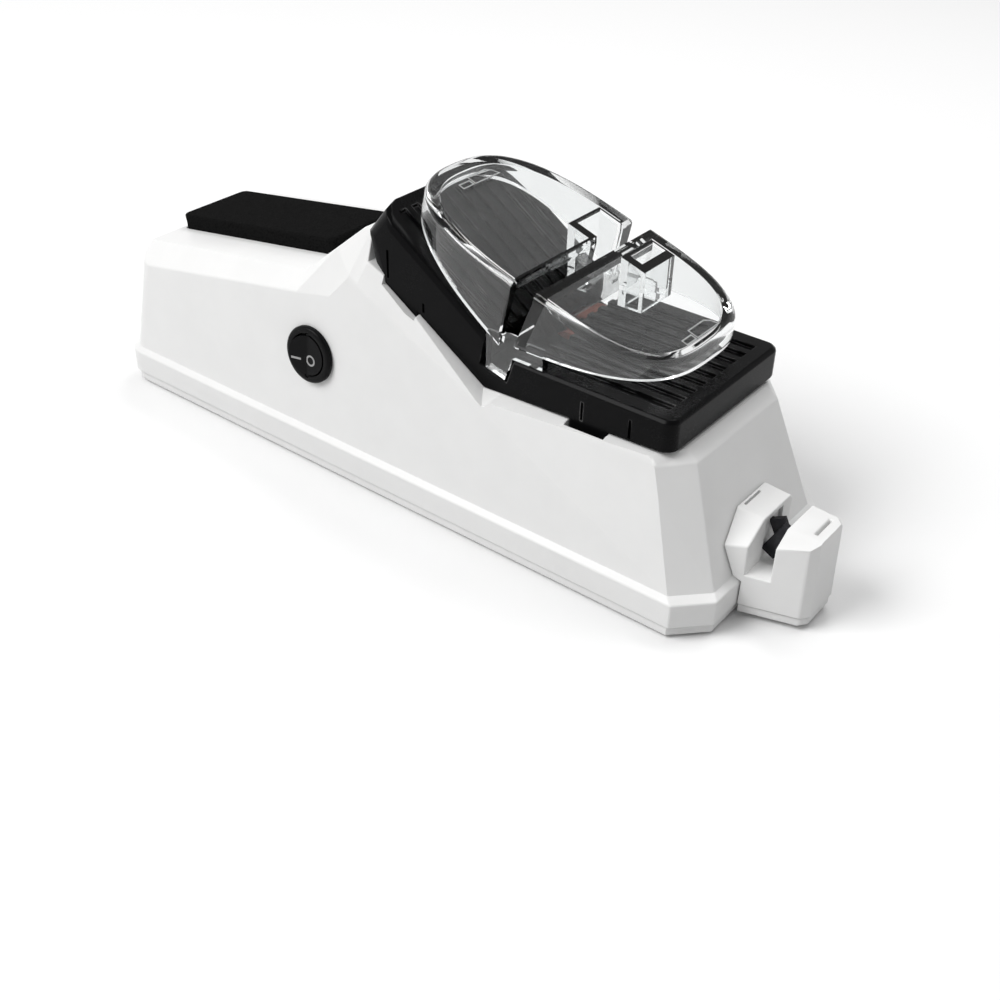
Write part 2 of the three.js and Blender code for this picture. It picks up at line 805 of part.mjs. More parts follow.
function rampBlock(inset) {
  const points = [];
  const lift = inset * (table_top / table_wall);
  const corner_steps = 3;
  for (const side of [-1, 1]) {
    const edge = side * (table_half - inset);
    for (let step = 0; step <= corner_steps; step += 1) {
      const angle = (Math.PI / 2) * (step / corner_steps);
      const back = table_corner * (1 - Math.cos(angle)) + inset;
      const half = table_half - table_corner * (1 - Math.sin(angle)) - inset;
      const top_x = ramp_top_x + back;
      points.push(at(top_x, side * half, rampHeight(top_x) - lift));
      points.push(at(top_x, side * (half - ramp_edge_step), rampHeight(top_x) + ramp_edge_rise - lift));
      points.push(at(top_x, side * (half - ramp_edge_width), rampHeight(top_x) + ramp_crown - lift));
      points.push(at(table_back_x + back, side * half, table_back_height));
      points.push(at(table_heel_x + back, side * half, table_heel_height));
      if (inset) points.push(at(table_heel_x + back, side * half, skirt_top));
    }
    const foot_x = ramp_foot_x - inset;
    points.push(at(foot_x, edge, rampHeight(foot_x) - lift));
    points.push(at(foot_x, edge - side * ramp_edge_step, rampHeight(foot_x) + ramp_edge_rise - lift));
    points.push(at(foot_x, edge - side * ramp_edge_width, rampHeight(foot_x) + ramp_crown - lift));
    points.push(at(table_knee_x + inset, edge, table_knee_height));
    points.push(at(table_hollow_x - inset, edge, table_hollow_height));
    if (inset) points.push(at(table_hollow_x - inset, edge, skirt_top));
  }
  return hull(points);
}

function gentleBlock() {
  const points = [];
  const corner_steps = 4;
  for (const side of [-1, 1]) {
    const edge = side * table_half;
    points.push(at(gentle_rear_x, edge, gentle_height - gentle_edge));
    points.push(at(gentle_rear_x, edge - side * gentle_edge, gentle_height));
    for (let step = 0; step <= corner_steps; step += 1) {
      const angle = (Math.PI / 2) * (step / corner_steps);
      for (const [radius, height] of [
        [table_front_corner, table_front_height],
        [table_front_corner, gentle_height - gentle_edge],
        [table_front_corner - gentle_edge, gentle_height],
      ]) {
        points.push(at(
          table_front_x - table_front_corner + radius * Math.cos(angle),
          side * (table_half - table_front_corner + radius * Math.sin(angle)),
          height,
        ));
      }
    }
    points.push(at(valley_front_x, edge, valley_front_height));
    points.push(at(table_level_x, edge, table_level_height));
  }
  return hull(points);
}

const valley_block = across([
  [table_hollow_x, table_hollow_height],
  [table_level_x, table_level_height],
  [valley_front_x, valley_front_height],
  [valley_rear_x, valley_rear_height],
  [ramp_foot_x - table_wall, valley_rear_height],
], -table_half, table_half);
const seat_cut = across([
  [table_heel_x, skirt_top],
  [table_hollow_x, skirt_top],
  [table_hollow_x, table_hollow_height],
  [table_knee_x, table_knee_height],
  [table_heel_x, table_heel_height],
], -table_half - overrun, table_half + overrun);
const valley_cut = across([
  [ramp_foot_x, ramp_foot_height],
  [valley_rear_x, valley_rear_height],
  [valley_front_x, valley_front_height],
  [gentle_rear_x, gentle_height - gentle_edge],
  [gentle_rear_x, loft_height],
  [ramp_foot_x, loft_height],
], -table_half - overrun, table_half + overrun);
const inner_half = table_half - table_wall;
const gentle_hollow = box(
  at(gentle_rear_x + table_wall, -inner_half, skirt_top),
  at(table_front_x - table_wall, inner_half, gentle_height - table_top),
);
const valley_hollow = across([
  [ramp_foot_x - 2 * table_wall, valley_rear_height - table_top],
  [ramp_foot_x - 2 * table_wall, skirt_top],
  [gentle_rear_x + table_wall + seam, skirt_top],
  [gentle_rear_x + table_wall + seam, valley_front_height - table_top],
  [valley_front_x, valley_front_height - table_top],
], -inner_half, inner_half);
const ramp_hollow = rampBlock(table_wall)
  .intersect(box(
    at(0, -table_half, 0),
    at(ramp_foot_x - 2 * table_wall, table_half, loft_height),
  ));
const wheel_window = rod(
  wheel_radius + wheel_clearance,
  at(motor_x, wheel_near_y - wheel_clearance, motor_height),
  at(motor_x, wheel_far_y + wheel_clearance, motor_height),
  2 * round_sides,
);

// Grooves run down both slopes, between the side edges
function grooves(from_x, to_x, surface) {
  const floor_half = table_half - ramp_edge_width - groove_margin / 2;
  const count = Math.floor((2 * floor_half - groove_width) / groove_pitch);
  let all = null;
  for (let index = 0; index <= count; index += 1) {
    const y = (index - count / 2) * groove_pitch;
    const groove = hull([from_x, to_x].flatMap((x) => [
      at(x, y - groove_width / 2, surface(x) + overrun),
      at(x, y + groove_width / 2, surface(x) + overrun),
      at(x, y - groove_width / 2, surface(x) - groove_depth),
      at(x, y + groove_width / 2, surface(x) - groove_depth),
    ]));
    all = all ? all.add(groove) : groove;
  }
  return all;
}

const angle_table = rampBlock(0)
  .subtract(seat_cut)
  .add(gentleBlock())
  .add(valley_block)
  .subtract(valley_cut)
  .subtract(ramp_hollow)
  .subtract(gentle_hollow)
  .subtract(valley_hollow)
  .subtract(grooves(ramp_top_x + groove_margin, ramp_foot_x + overrun, (x) => rampHeight(x) + ramp_crown))
  .subtract(grooves(gentle_rear_x - overrun, table_front_x - groove_end_border, () => gentle_height))
  .subtract(wheel_window)
  .add(snapTabs(0));
addPiece('angle_table', toGeometry(angle_table), 'black');

// Clear guard: cups with flat sloping tops, straight walls along the slot and D-shaped outlines
function cupOutline(edge_x, direction, length, half, power, surface) {
  const points = [];
  const steps = 26;
  for (let step = 0; step <= steps; step += 1) {
    const angle = Math.PI * (step / steps - 1 / 2);
    const x = edge_x + direction * length * Math.max(Math.cos(angle), 0) ** (2 / power);
    const y = half * Math.sign(Math.sin(angle)) * Math.abs(Math.sin(angle)) ** (2 / power);
    points.push(at(x, y, surface(x)));
  }
  return points;
}

const rearCupTop = (x) => rear_cup_edge_height + rear_cup_slope_share * (rear_cup_edge_x - x);
const frontCupTop = (x) => front_cup_edge_height - front_cup_slope_share * (x - front_cup_edge_x);
const rearCupFoot = (x) => rampHeight(x) + blade_gap;
const frontCupFoot = () => gentle_height + blade_gap;

function rearCup(inset, drop) {
  const grow = guard_edge_round - inset;
  return hull([
    ...cupOutline(rear_cup_edge_x - inset, -1, rear_cup_length + grow - inset, cup_half + grow,
      rear_cup_power_share, (x) => rearCupTop(x) - guard_edge_round - inset),
    ...cupOutline(rear_cup_edge_x - inset, -1, rear_cup_length - 2 * inset, cup_half - inset,
      rear_cup_power_share, (x) => rearCupTop(x) - inset),
    ...cupOutline(rear_cup_foot_x - inset, -1, rear_cup_foot_length - 2 * inset,
      cup_foot_half - inset, rear_cup_power_share, (x) => rearCupFoot(x) - drop),
  ]);
}

function frontCup(inset, drop) {
  const grow = guard_edge_round - inset;
  return hull([
    ...cupOutline(front_cup_edge_x + inset, 1, front_cup_length + grow - inset, cup_half + grow,
      front_cup_power_share, (x) => frontCupTop(x) - guard_edge_round - inset),
    ...cupOutline(front_cup_edge_x + inset, 1, front_cup_length - 2 * inset, cup_half - inset,
      front_cup_power_share, (x) => frontCupTop(x) - inset),
    ...cupOutline(front_cup_foot_x + inset, 1, front_cup_foot_length - 2 * inset,
      cup_foot_half - inset, front_cup_power_share, (x) => frontCupFoot(x) - drop),
  ]);
}

// Square pockets down through each top beside the slot, over the grinding wheel
function pocket(from_x, to_x, margin, bottom) {
  return box(
    at(from_x - margin, pocket_near_y - margin, bottom),
    at(to_x + margin, pocket_far_y + margin, loft_height),
  );
}

const rear_pocket_bottom = rampHeight(pocket_rear_start_x) + blade_gap;
const front_pocket_bottom = gentle_height + blade_gap;
const rear_walls = rearCup(0, 0)
  .subtract(rearCup(guard_wall, overrun))
  .add(pocket(pocket_rear_start_x, rear_cup_edge_x, guard_wall, rear_pocket_bottom)
    .intersect(rearCup(0, 0)))
  .subtract(pocket(pocket_rear_start_x, rear_cup_edge_x + overrun, 0, 0));
const front_walls = frontCup(0, 0)
  .subtract(frontCup(guard_wall, overrun))
  .add(pocket(pocket_front_start_x, pocket_front_end_x, guard_wall, front_pocket_bottom)
    .intersect(frontCup(0, 0)))
  .subtract(pocket(pocket_front_start_x, pocket_front_end_x, 0, 0));
const valleyFloor = (x) => valley_rear_height + (valley_front_height - valley_rear_height)
  * ((x - valley_rear_x) / (valley_front_x - valley_rear_x));
const guard_feet = bothSides((side) => {
  const outer = side * guard_foot_half;
  const inner = side * (guard_foot_half - guard_foot_thickness);
  const bridge_bottom = gentle_height + seam;
  const bridge_top = frontCupFoot() + guard_wall;
  return across([
    [guard_foot_rear_x, valleyFloor(guard_foot_rear_x) + seam],
    [guard_foot_front_x, valleyFloor(guard_foot_front_x) + seam],
    [gentle_rear_x - seam, bridge_bottom],
    [guard_bridge_front_x, bridge_bottom],
    [guard_bridge_front_x, bridge_top],
    [guard_foot_rear_x, bridge_top],
  ], Math.min(inner, outer), Math.max(inner, outer));
});
const clear_guard = rear_walls.add(front_walls).add(guard_feet);
addPiece('clear_guard', toGeometry(clear_guard), 'clear');

addPiece('wiping_pad', padSlab(0, seam, pad_thickness + pad_recess), 'foam', pad_seat);

// Round rocker switch: bezel and barrel in one body, with the rocker on two pins
const rocker_centre_z = bezel_height - rocker_face_height;
const bore_floor = rocker_centre_z - rocker_room_depth;

function pinBar(radius, reach) {
  return rod(radius, at(0, -reach, rocker_centre_z), at(0, reach, rocker_centre_z), small_sides);
}

const switch_body = toSolid(disc(bezel_radius, seam, bezel_height))
  .add(toSolid(disc(barrel_radius, -barrel_depth, bezel_height)))
  .subtract(toSolid(disc(rocker_radius + seam, bore_floor, bezel_height + overrun)))
  .subtract(pinBar(rocker_pin_radius + seam, rocker_pin_reach + seam));
addPiece('switch_body', toGeometry(switch_body), 'black', switch_seat);

const rocker_ball = new THREE.SphereGeometry(rocker_radius, round_sides, small_sides);
rocker_ball.translate(0, 0, rocker_centre_z);
const face_rise = rocker_radius * Math.tan(THREE.MathUtils.degToRad(rocker_tilt_degrees));
const rocker_room = across([
  [-rocker_radius, rocker_centre_z - rocker_depth],
  [rocker_radius, rocker_centre_z - rocker_depth],
  [rocker_radius, bezel_height + face_rise],
  [0, bezel_height],
  [-rocker_radius, bezel_height + face_rise],
], -rocker_radius, rocker_radius);
const rocker = toSolid(rocker_ball).intersect(rocker_room).add(pinBar(rocker_pin_radius, rocker_pin_reach));
const rocker_geometry = toGeometry(rocker);
rocker_geometry.translate(0, 0, -rocker_centre_z);
rocker_geometry.rotateY(THREE.MathUtils.degToRad(rocker_tilt_degrees));
rocker_geometry.translate(0, 0, rocker_centre_z);
addPiece('rocker_button', rocker_geometry, 'black', switch_seat);

const terminal_names = ['supply', 'motor'];
terminal_names.forEach((side_name, index) => {
  const x = (index ? 1 : -1) * terminal_spread;
  const blade = new THREE.BoxGeometry(terminal_thickness, terminal_width, terminal_length);
  blade.translate(x, 0, -barrel_depth - seam - terminal_length / 2);
  addPiece(`switch_terminal_${side_name}`, blade, 'brass', switch_seat);
});

// Power inlet: flanged socket with a centre pin
const inlet_socket = toSolid(disc(inlet_flange_radius, seam, inlet_flange_thickness + seam))
  .add(toSolid(disc(inlet_barrel_radius, -inlet_barrel_length, inlet_flange_thickness)))
  .subtract(toSolid(disc(inlet_bore_radius, -inlet_bore_depth, inlet_flange_thickness + overrun)))
  .add(toSolid(disc(inlet_pin_radius, -inlet_bore_depth - seam, -inlet_flange_thickness, small_sides)));
addPiece('power_inlet', toGeometry(inlet_socket), 'black', inlet_seat);

// Motor: steel can with its magnets, rear cap, armature and shaft
const can_end_inner = can_far_y - can_wall;
const motor_can = turned([
  [can_radius, can_near_y],
  [can_radius, can_far_y],
  [can_boss_radius, can_far_y],
  [can_boss_radius, can_far_y + can_boss_length],
  [shaft_radius + seam, can_far_y + can_boss_length],
  [shaft_radius + seam, can_end_inner],
  [can_radius - can_wall, can_end_inner],
  [can_radius - can_wall, can_near_y],
]);
addPiece('motor_can', toGeometry(motor_can), 'steel');

const magnet_outer = can_radius - can_wall - seam;
const magnet_ring = turned([
  [magnet_outer, can_near_y + magnet_margin],
  [magnet_outer, can_end_inner - magnet_margin],
  [magnet_outer - magnet_thickness, can_end_inner - magnet_margin],
  [magnet_outer - magnet_thickness, can_near_y + magnet_margin],
]);
addPiece('motor_magnets', toGeometry(magnet_ring), 'magnet');

const cap_face_y = can_near_y - seam;
const motor_cap = turned([
  [can_radius, cap_face_y - cap_thickness],
  [can_radius, cap_face_y],
  [shaft_radius + seam, cap_face_y],
  [shaft_radius + seam, cap_face_y - cap_thickness],
]);
addPiece('motor_end_cap', toGeometry(motor_cap), 'black');

const armature = turned([
  [armature_radius, can_near_y + magnet_margin],
  [armature_radius, can_end_inner - magnet_margin],
  [shaft_radius + seam, can_end_inner - magnet_margin],
  [shaft_radius + seam, can_near_y + magnet_margin],
]);
addPiece('motor_armature', toGeometry(armature), 'magnet');

const motor_shaft = rod(
  shaft_radius,
  at(motor_x, shaft_near_y, motor_height),
  at(motor_x, shaft_far_y, motor_height),
  small_sides,
);
addPiece('motor_shaft', toGeometry(motor_shaft), 'steel');

const motor_tab_names = ['supply', 'return'];
const motor_tab_start_y = cap_face_y - cap_thickness - seam;
motor_tab_names.forEach((tab_name, index) => {
  const z = motor_height + (index ? -1 : 1) * motor_tab_spread;
  const tab = box(
    at(motor_x - motor_tab_width / 2, motor_tab_start_y - motor_tab_length, z - motor_tab_thickness / 2),
    at(motor_x + motor_tab_width / 2, motor_tab_start_y, z + motor_tab_thickness / 2),
  );
  addPiece(`motor_terminal_${tab_name}`, toGeometry(tab), 'brass');
});

// Strap over the motor, screwed down on the cradle at both sides
const strap_near_y = cradle_centre_y - strap_width / 2;
const strap_far_y = cradle_centre_y + strap_width / 2;
const strap_inner = can_radius + seam;
const strap_outer = strap_inner + strap_thickness;
const strap_ring = rod(
  strap_outer,
  at(motor_x, strap_near_y, motor_height),
  at(motor_x, strap_far_y, motor_height),
)
  .subtract(rod(
    strap_inner,
    at(motor_x, strap_near_y - overrun, motor_height),
    at(motor_x, strap_far_y + overrun, motor_height),
  ))
  .intersect(box(
    at(motor_x - strap_outer, strap_near_y, motor_height),
    at(motor_x + strap_outer, strap_far_y, motor_height + strap_outer),
  ));
const strap_ears = box(
  at(motor_x - strap_outer - strap_ear, strap_near_y, motor_height),
  at(motor_x + strap_outer + strap_ear, strap_far_y, motor_height + strap_thickness),
).subtract(box(
  at(motor_x - strap_inner - seam, strap_near_y - overrun, motor_height - overrun),
  at(motor_x + strap_inner + seam, strap_far_y + overrun, motor_height + strap_outer),
));
const motor_strap = strap_ring.add(strap_ears).subtract(ear_bores);
addPiece('motor_strap', toGeometry(motor_strap), 'steel');
ear_points.forEach((x, index) => {
  const head = at(motor_x + x, cradle_centre_y, motor_height + strap_thickness + seam + screw_head_height);
  addPiece(`strap_screw_${index ? 'front' : 'rear'}`, toGeometry(screw(head, at(0, 0, -1))), 'zinc');
});

// Grinding wheel between its flanged hub and a nut on the shaft
const hub_far_y = wheel_far_y + hub_lip;
const wheel = turned([
  [wheel_radius, wheel_near_y],
  [wheel_radius, wheel_far_y],
  [hub_radius + seam, wheel_far_y],
  [hub_radius + seam, wheel_near_y],
], 2 * round_sides);
addPiece('grinding_wheel', toGeometry(wheel), 'stone');
const wheel_hub = turned([
  [hub_flange_radius, wheel_near_y - seam - hub_flange_thickness],
  [hub_flange_radius, wheel_near_y - seam],
  [hub_radius, wheel_near_y - seam],
  [hub_radius, hub_far_y],
  [shaft_radius + seam, hub_far_y],
  [shaft_radius + seam, wheel_near_y - seam - hub_flange_thickness],
]);
addPiece('wheel_hub', toGeometry(wheel_hub), 'brass');
const hex_sides = 6;
const nut_start_y = hub_far_y + seam;
const wheel_nut = rod(
  nut_radius,
  at(motor_x, nut_start_y, motor_height),
  at(motor_x, nut_start_y + nut_height, motor_height),
  hex_sides,
).subtract(rod(
  shaft_radius + seam,
  at(motor_x, wheel_far_y, motor_height),
  at(motor_x, nut_start_y + nut_height + overrun, motor_height),
  small_sides,
));
addPiece('wheel_nut', toGeometry(wheel_nut), 'zinc');

// Pull-through sharpener: body screwed to the front face, with a cartridge let in from its rear and a lid
function blockSide(side, x) {
  return side < 0
    ? block_near_y - block_near_taper_share * (block_outer_x - x)
    : block_far_y + block_far_taper_share * (block_outer_x - x);
}

const lid_top = block_bottom + block_seam_height;

function blockBody(bottom, shrink) {
  const points = [];
  const lean = (height) => block_lean * ((height - lid_top) / (block_top - lid_top));
  const corners = [
    [block_inner_x, 0],
    [block_outer_x - block_edge_round, 0],
    [block_outer_x, block_edge_round],
  ];
  for (const [x, round] of corners) {
    const near_y = blockSide(-1, x) + shrink + round;
    const far_y = blockSide(1, x) - shrink - round;
    const near_turn = block_top - block_ridge_slope_share * (block_ridge_y - near_y);
    const profile = [
      [near_y, bottom],
      [near_y, near_turn],
      [block_ridge_y, block_top],
      [far_y - block_far_round, block_top],
      [far_y, block_top - block_far_round],
      [far_y, bottom],
    ];
    points.push(...profile.map(([y, z]) => at(x - shrink - lean(z), y, z)));
  }
  return hull(points);
}

const housing_clearance = housingBody(-seam).add(skirtBody(-seam, -overrun, skirt_top + seam));
const below_lid = box(
  at(block_inner_x - overrun, -half_width, -overrun),
  at(block_outer_x + overrun, half_width, lid_top),
);
const knife_slot = box(
  at(slot_rear_x, -half_width, slot_floor),
  at(slot_front_x, half_width, loft_height),
);
const slits = [slit_rear_x, slit_outer_x].map((x) => box(
  at(x, slit_near_y, block_top - slit_depth),
  at(x + slit_width, slit_far_y, block_top + overrun),
)).reduce((all, slit) => all.add(slit));

function cartridgeBlock(margin) {
  return box(
    at(block_inner_x, cartridge_near_y - margin, cartridge_bottom - margin),
    at(cartridge_outer_x + margin, cartridge_far_y + margin, block_top - cartridge_roof - seam + margin),
  );
}

const sharpener_block = blockBody(lid_top, 0)
  .subtract(housing_clearance)
  .subtract(knife_slot)
  .subtract(slits)
  .subtract(cartridgeBlock(seam))
  .subtract(blockScrewBores(block_screw_face_x, block_screw_end_x));
addPiece('sharpener_block', toGeometry(sharpener_block), 'white');

const sharpener_lid = blockBody(block_bottom, block_lid_inset)
  .intersect(below_lid)
  .subtract(box(
    at(block_inner_x - overrun, -half_width, lid_top - seam),
    at(block_outer_x + overrun, half_width, lid_top + overrun),
  ))
  .subtract(housing_clearance);
addPiece('sharpener_lid', toGeometry(sharpener_lid), 'white');

const slot_centre_x = (slot_rear_x + slot_front_x) / 2;

// One blade of the V, leaning to the rear or to the front, with a margin for its groove
function stone(lean, near_y, margin) {
  const geometry = new THREE.BoxGeometry(
    stone_width + 2 * margin,
    stone_thickness + 2 * margin,
    stone_length + 2 * margin,
  );
  geometry.rotateY(lean * THREE.MathUtils.degToRad(stone_lean_degrees));
  geometry.translate(slot_centre_x, near_y + stone_thickness / 2, stone_cross_height);
  return toSolid(geometry);
}

const cartridge = cartridgeBlock(0)
  .subtract(housing_clearance)
  .subtract(box(
    at(slot_rear_x - slot_side_inset, -half_width, slot_floor - slot_floor_inset),
    at(slot_front_x + slot_side_inset, half_width, loft_height),
  ))
  .subtract(stone(1, stone_near_y, seam))
  .subtract(stone(-1, stone_far_y, seam));
addPiece('sharpener_cartridge', toGeometry(cartridge), 'white');
addPiece('sharpening_blade_near', toGeometry(stone(1, stone_near_y, 0)), 'carbide');
addPiece('sharpening_blade_far', toGeometry(stone(-1, stone_far_y, 0)), 'carbide');
for (const [place, y] of [['near', block_screw_near_y], ['far', block_screw_far_y]]) {
  const head = at(block_screw_head_x, y, block_screw_height);
  addPiece(`block_screw_${place}`, toGeometry(screw(head, at(1, 0, 0), block_screw_length)), 'zinc');
}

// Leads: round wires along smooth routes that start and end just short of their terminals
function lead(points) {
  const route = new THREE.CatmullRomCurve3(points, false, 'centripetal');
  const section = new THREE.Shape();
  for (let side = 0; side < lead_sides; side += 1) {
    const angle = 2 * Math.PI * (side / lead_sides);
    const [x, y] = [lead_radius * Math.cos(angle), lead_radius * Math.sin(angle)];
    if (side) section.lineTo(x, y);
    else section.moveTo(x, y);
  }
  return new THREE.ExtrudeGeometry(section, { steps: lead_steps, extrudePath: route, bevelEnabled: false });
}

const inlet_back = (offset) => at(offset, 0, -inlet_barrel_length - seam).applyMatrix4(inlet_seat.matrix);
const terminal_back = (side) => at(
  side * terminal_spread,
  0,
  -barrel_depth - terminal_length - 2 * seam,
).applyMatrix4(switch_seat.matrix);
const motor_lead_y = motor_tab_start_y - motor_tab_length / 2;
const motor_tab_side = (z_side) => at(
  motor_x - motor_tab_width / 2 - seam,
  motor_lead_y,
  motor_height + z_side * motor_tab_spread,
);
const supply_start = inlet_back(lead_spread);
const return_start = inlet_back(-lead_spread);
const switch_supply = terminal_back(-1);
const switch_motor = terminal_back(1);
const run_in = 4 * lead_spread;
const supply_lead = lead([
  supply_start,
  supply_start.clone().add(at(run_in, 0, 0)),
  at(switch_supply.x - 3 * run_in, lead_near_y, lead_low + run_in),
  at(switch_supply.x - run_in / 2, switch_supply.y + run_in, switch_supply.z - run_in / 2),
  switch_supply.clone().add(at(0, run_in / 2, 0)),
  switch_supply,
]);
addPiece('lead_inlet_to_switch', supply_lead, 'red');

const motor_supply = motor_tab_side(1);
const motor_return = motor_tab_side(-1);
const cradle_rear_x = motor_x - cradle_half;
const switched_lead = lead([
  switch_motor,
  switch_motor.clone().add(at(0, run_in / 2, 0)),
  at(switch_motor.x + 2 * run_in, switch_motor.y + run_in, switch_motor.z),
  at(cradle_rear_x - run_in, motor_lead_y + lead_spread, motor_supply.z),
  at(motor_x - 2 * run_in, motor_lead_y, motor_supply.z),
  at(motor_x - run_in, motor_lead_y, motor_supply.z),
  motor_supply,
]);
addPiece('lead_switch_to_motor', switched_lead, 'red');

const return_lead = lead([
  return_start,
  return_start.clone().add(at(run_in, 0, 0)),
  at(switch_supply.x, 0, lead_low),
  at(cradle_rear_x - 2 * run_in, lead_near_y, lead_low),
  at(cradle_rear_x, motor_lead_y + lead_spread, motor_return.z - lead_spread),
  at(motor_x - 2 * run_in, motor_lead_y, motor_return.z),
  at(motor_x - run_in, motor_lead_y, motor_return.z),
  motor_return,
]);
addPiece('lead_inlet_to_motor', return_lead, 'lead');

// The origin is under the middle of the whole object, on the surface that its feet stand on
sharpener.position.set(-block_outer_x / 2, 0, foot_stand);

export default sharpener;
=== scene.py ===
import math

import bmesh
import bpy
from mathutils import Matrix, Vector
from mathutils.bvhtree import BVHTree


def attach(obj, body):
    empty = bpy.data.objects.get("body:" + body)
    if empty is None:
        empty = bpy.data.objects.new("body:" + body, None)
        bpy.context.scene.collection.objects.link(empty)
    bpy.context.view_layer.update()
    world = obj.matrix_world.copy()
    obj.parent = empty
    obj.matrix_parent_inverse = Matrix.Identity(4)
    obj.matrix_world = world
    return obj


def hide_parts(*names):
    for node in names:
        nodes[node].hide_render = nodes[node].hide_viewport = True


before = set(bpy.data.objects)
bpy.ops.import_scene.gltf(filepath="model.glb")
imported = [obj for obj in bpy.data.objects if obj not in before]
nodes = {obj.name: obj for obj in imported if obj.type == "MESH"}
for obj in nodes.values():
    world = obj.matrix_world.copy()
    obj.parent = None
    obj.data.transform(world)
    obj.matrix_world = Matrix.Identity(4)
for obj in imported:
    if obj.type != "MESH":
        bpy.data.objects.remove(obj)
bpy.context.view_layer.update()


# Camera. Placed where the photograph was taken from: in front of the pull-through end, to the
# switch side and above, looking a little below the middle of the sharpener.
camera_at = (0.22131, -0.27502, 0.22955)
camera_right = (0.7862675, 0.6175321, 0.0209171)
camera_up = (-0.3676530, 0.4403667, 0.8190900)
camera_back = (0.4966032, -0.6517141, 0.5732835)
camera_lens = 47.089
camera_sensor = 36.0
camera_nearest = 0.01
camera_farthest = 20.0

camera_data = bpy.data.cameras.new("view_camera")
camera_data.lens = camera_lens
camera_data.sensor_width = camera_sensor
camera_data.clip_start = camera_nearest
camera_data.clip_end = camera_farthest
camera = bpy.data.objects.new("view_camera", camera_data)
camera_turn = Matrix((camera_right, camera_up, camera_back)).transposed().to_4x4()
camera.matrix_world = Matrix.Translation(camera_at) @ camera_turn
bpy.context.collection.objects.link(camera)
bpy.context.scene.camera = camera
bpy.context.scene.view_settings.view_transform = "Standard"


# Floor, room light and lamps. A pale sheet under the sharpener, an even pale room around it and
# two large soft lamps, the stronger one above the rear end on the switch side.
class Wire:
    """A socket in a node tree. Arithmetic on it adds Math nodes; add() makes any other node."""

    def __init__(self, tree, socket=None):
        self.tree = tree
        self.socket = socket

    def add(self, kind, settings, sockets, output=0):
        node = self.tree.nodes.new(kind)
        for name, value in settings.items():
            setattr(node, name, value)
        for name, value in sockets.items():
            if isinstance(value, Wire):
                self.tree.links.new(value.socket, node.inputs[name])
            else:
                node.inputs[name].default_value = value
        return Wire(self.tree, node.outputs[output])

    def math(self, operation, *values):
        return self.add("ShaderNodeMath", {"operation": operation}, dict(enumerate(values)))

    def __add__(self, other):
        return self.math("ADD", self, other)

    def __sub__(self, other):
        return self.math("SUBTRACT", self, other)

    def __rsub__(self, other):
        return self.math("SUBTRACT", other, self)

    def __mul__(self, other):
        return self.math("MULTIPLY", self, other)

    __radd__ = __add__
    __rmul__ = __mul__

    def larger(self, other):
        return self.math("MAXIMUM", self, other)

    def step(self, start, end):
        """0 below start, 1 above end, smooth between."""
        return self.add("ShaderNodeMapRange", {"interpolation_type": "SMOOTHSTEP"}, {
            "Value": self, "From Min": start, "From Max": end, "To Min": 0.0, "To Max": 1.0})

    def mix(self, low, high):
        """The first colour where this is 0 and the second where it is 1."""
        return self.add("ShaderNodeMix", {"data_type": "RGBA"},
                        {"Factor": self, "A": low, "B": high}, "Result")


def grey(shade):
    return (shade, shade, shade, 1)


room_shade = 0.34
room_top_shade = 0.2
sky_low = 0.1
sky_high = 0.75

world = bpy.data.worlds.new("room")
bpy.context.scene.world = world
world.use_nodes = True
room = Wire(world.node_tree)
backdrop_node = next(n for n in world.node_tree.nodes if n.type == "BACKGROUND")


def seen_rays(wire):
    """Three wires, 1 for rays that look at a backdrop straight, by gloss or through glass."""
    camera_ray = wire.add("ShaderNodeLightPath", {}, {}, "Is Camera Ray")
    glossy_ray = wire.add("ShaderNodeLightPath", {}, {}, "Is Glossy Ray")
    clear_ray = wire.add("ShaderNodeLightPath", {}, {}, "Is Transmission Ray")
    return camera_ray, glossy_ray, clear_ray


camera_ray, glossy_ray, clear_ray = seen_rays(room)
sky_place = room.add("ShaderNodeTexCoord", {}, {}, "Generated")
sky_rise = room.add("ShaderNodeSeparateXYZ", {}, {"Vector": sky_place}, "Z")
sky_shade = sky_rise.step(sky_low, sky_high) * (room_top_shade - 1.0) + 1.0
seen = camera_ray.larger(clear_ray)
glossy_only = glossy_ray * (1.0 - seen)
backdrop = seen + glossy_only * sky_shade + (1.0 - seen - glossy_only) * room_shade
world.node_tree.links.new(backdrop.socket, backdrop_node.inputs["Strength"])
backdrop_node.inputs["Color"].default_value = grey(1.0)


def material(name, **constants):
    """A new material; gives it with its shader node and a wire to build on."""
    made = bpy.data.materials.new(name)
    made.use_nodes = True
    shader = next(n for n in made.node_tree.nodes if n.type == "BSDF_PRINCIPLED")
    for socket, value in constants.items():
        shader.inputs[socket.replace("_", " ")].default_value = value
    return made, shader, Wire(made.node_tree)


def feed(shader, **links):
    """Links wires to the sockets of a shader node."""
    for socket, wire in links.items():
        wire.tree.links.new(wire.socket, shader.inputs[socket.replace("_", " ")])


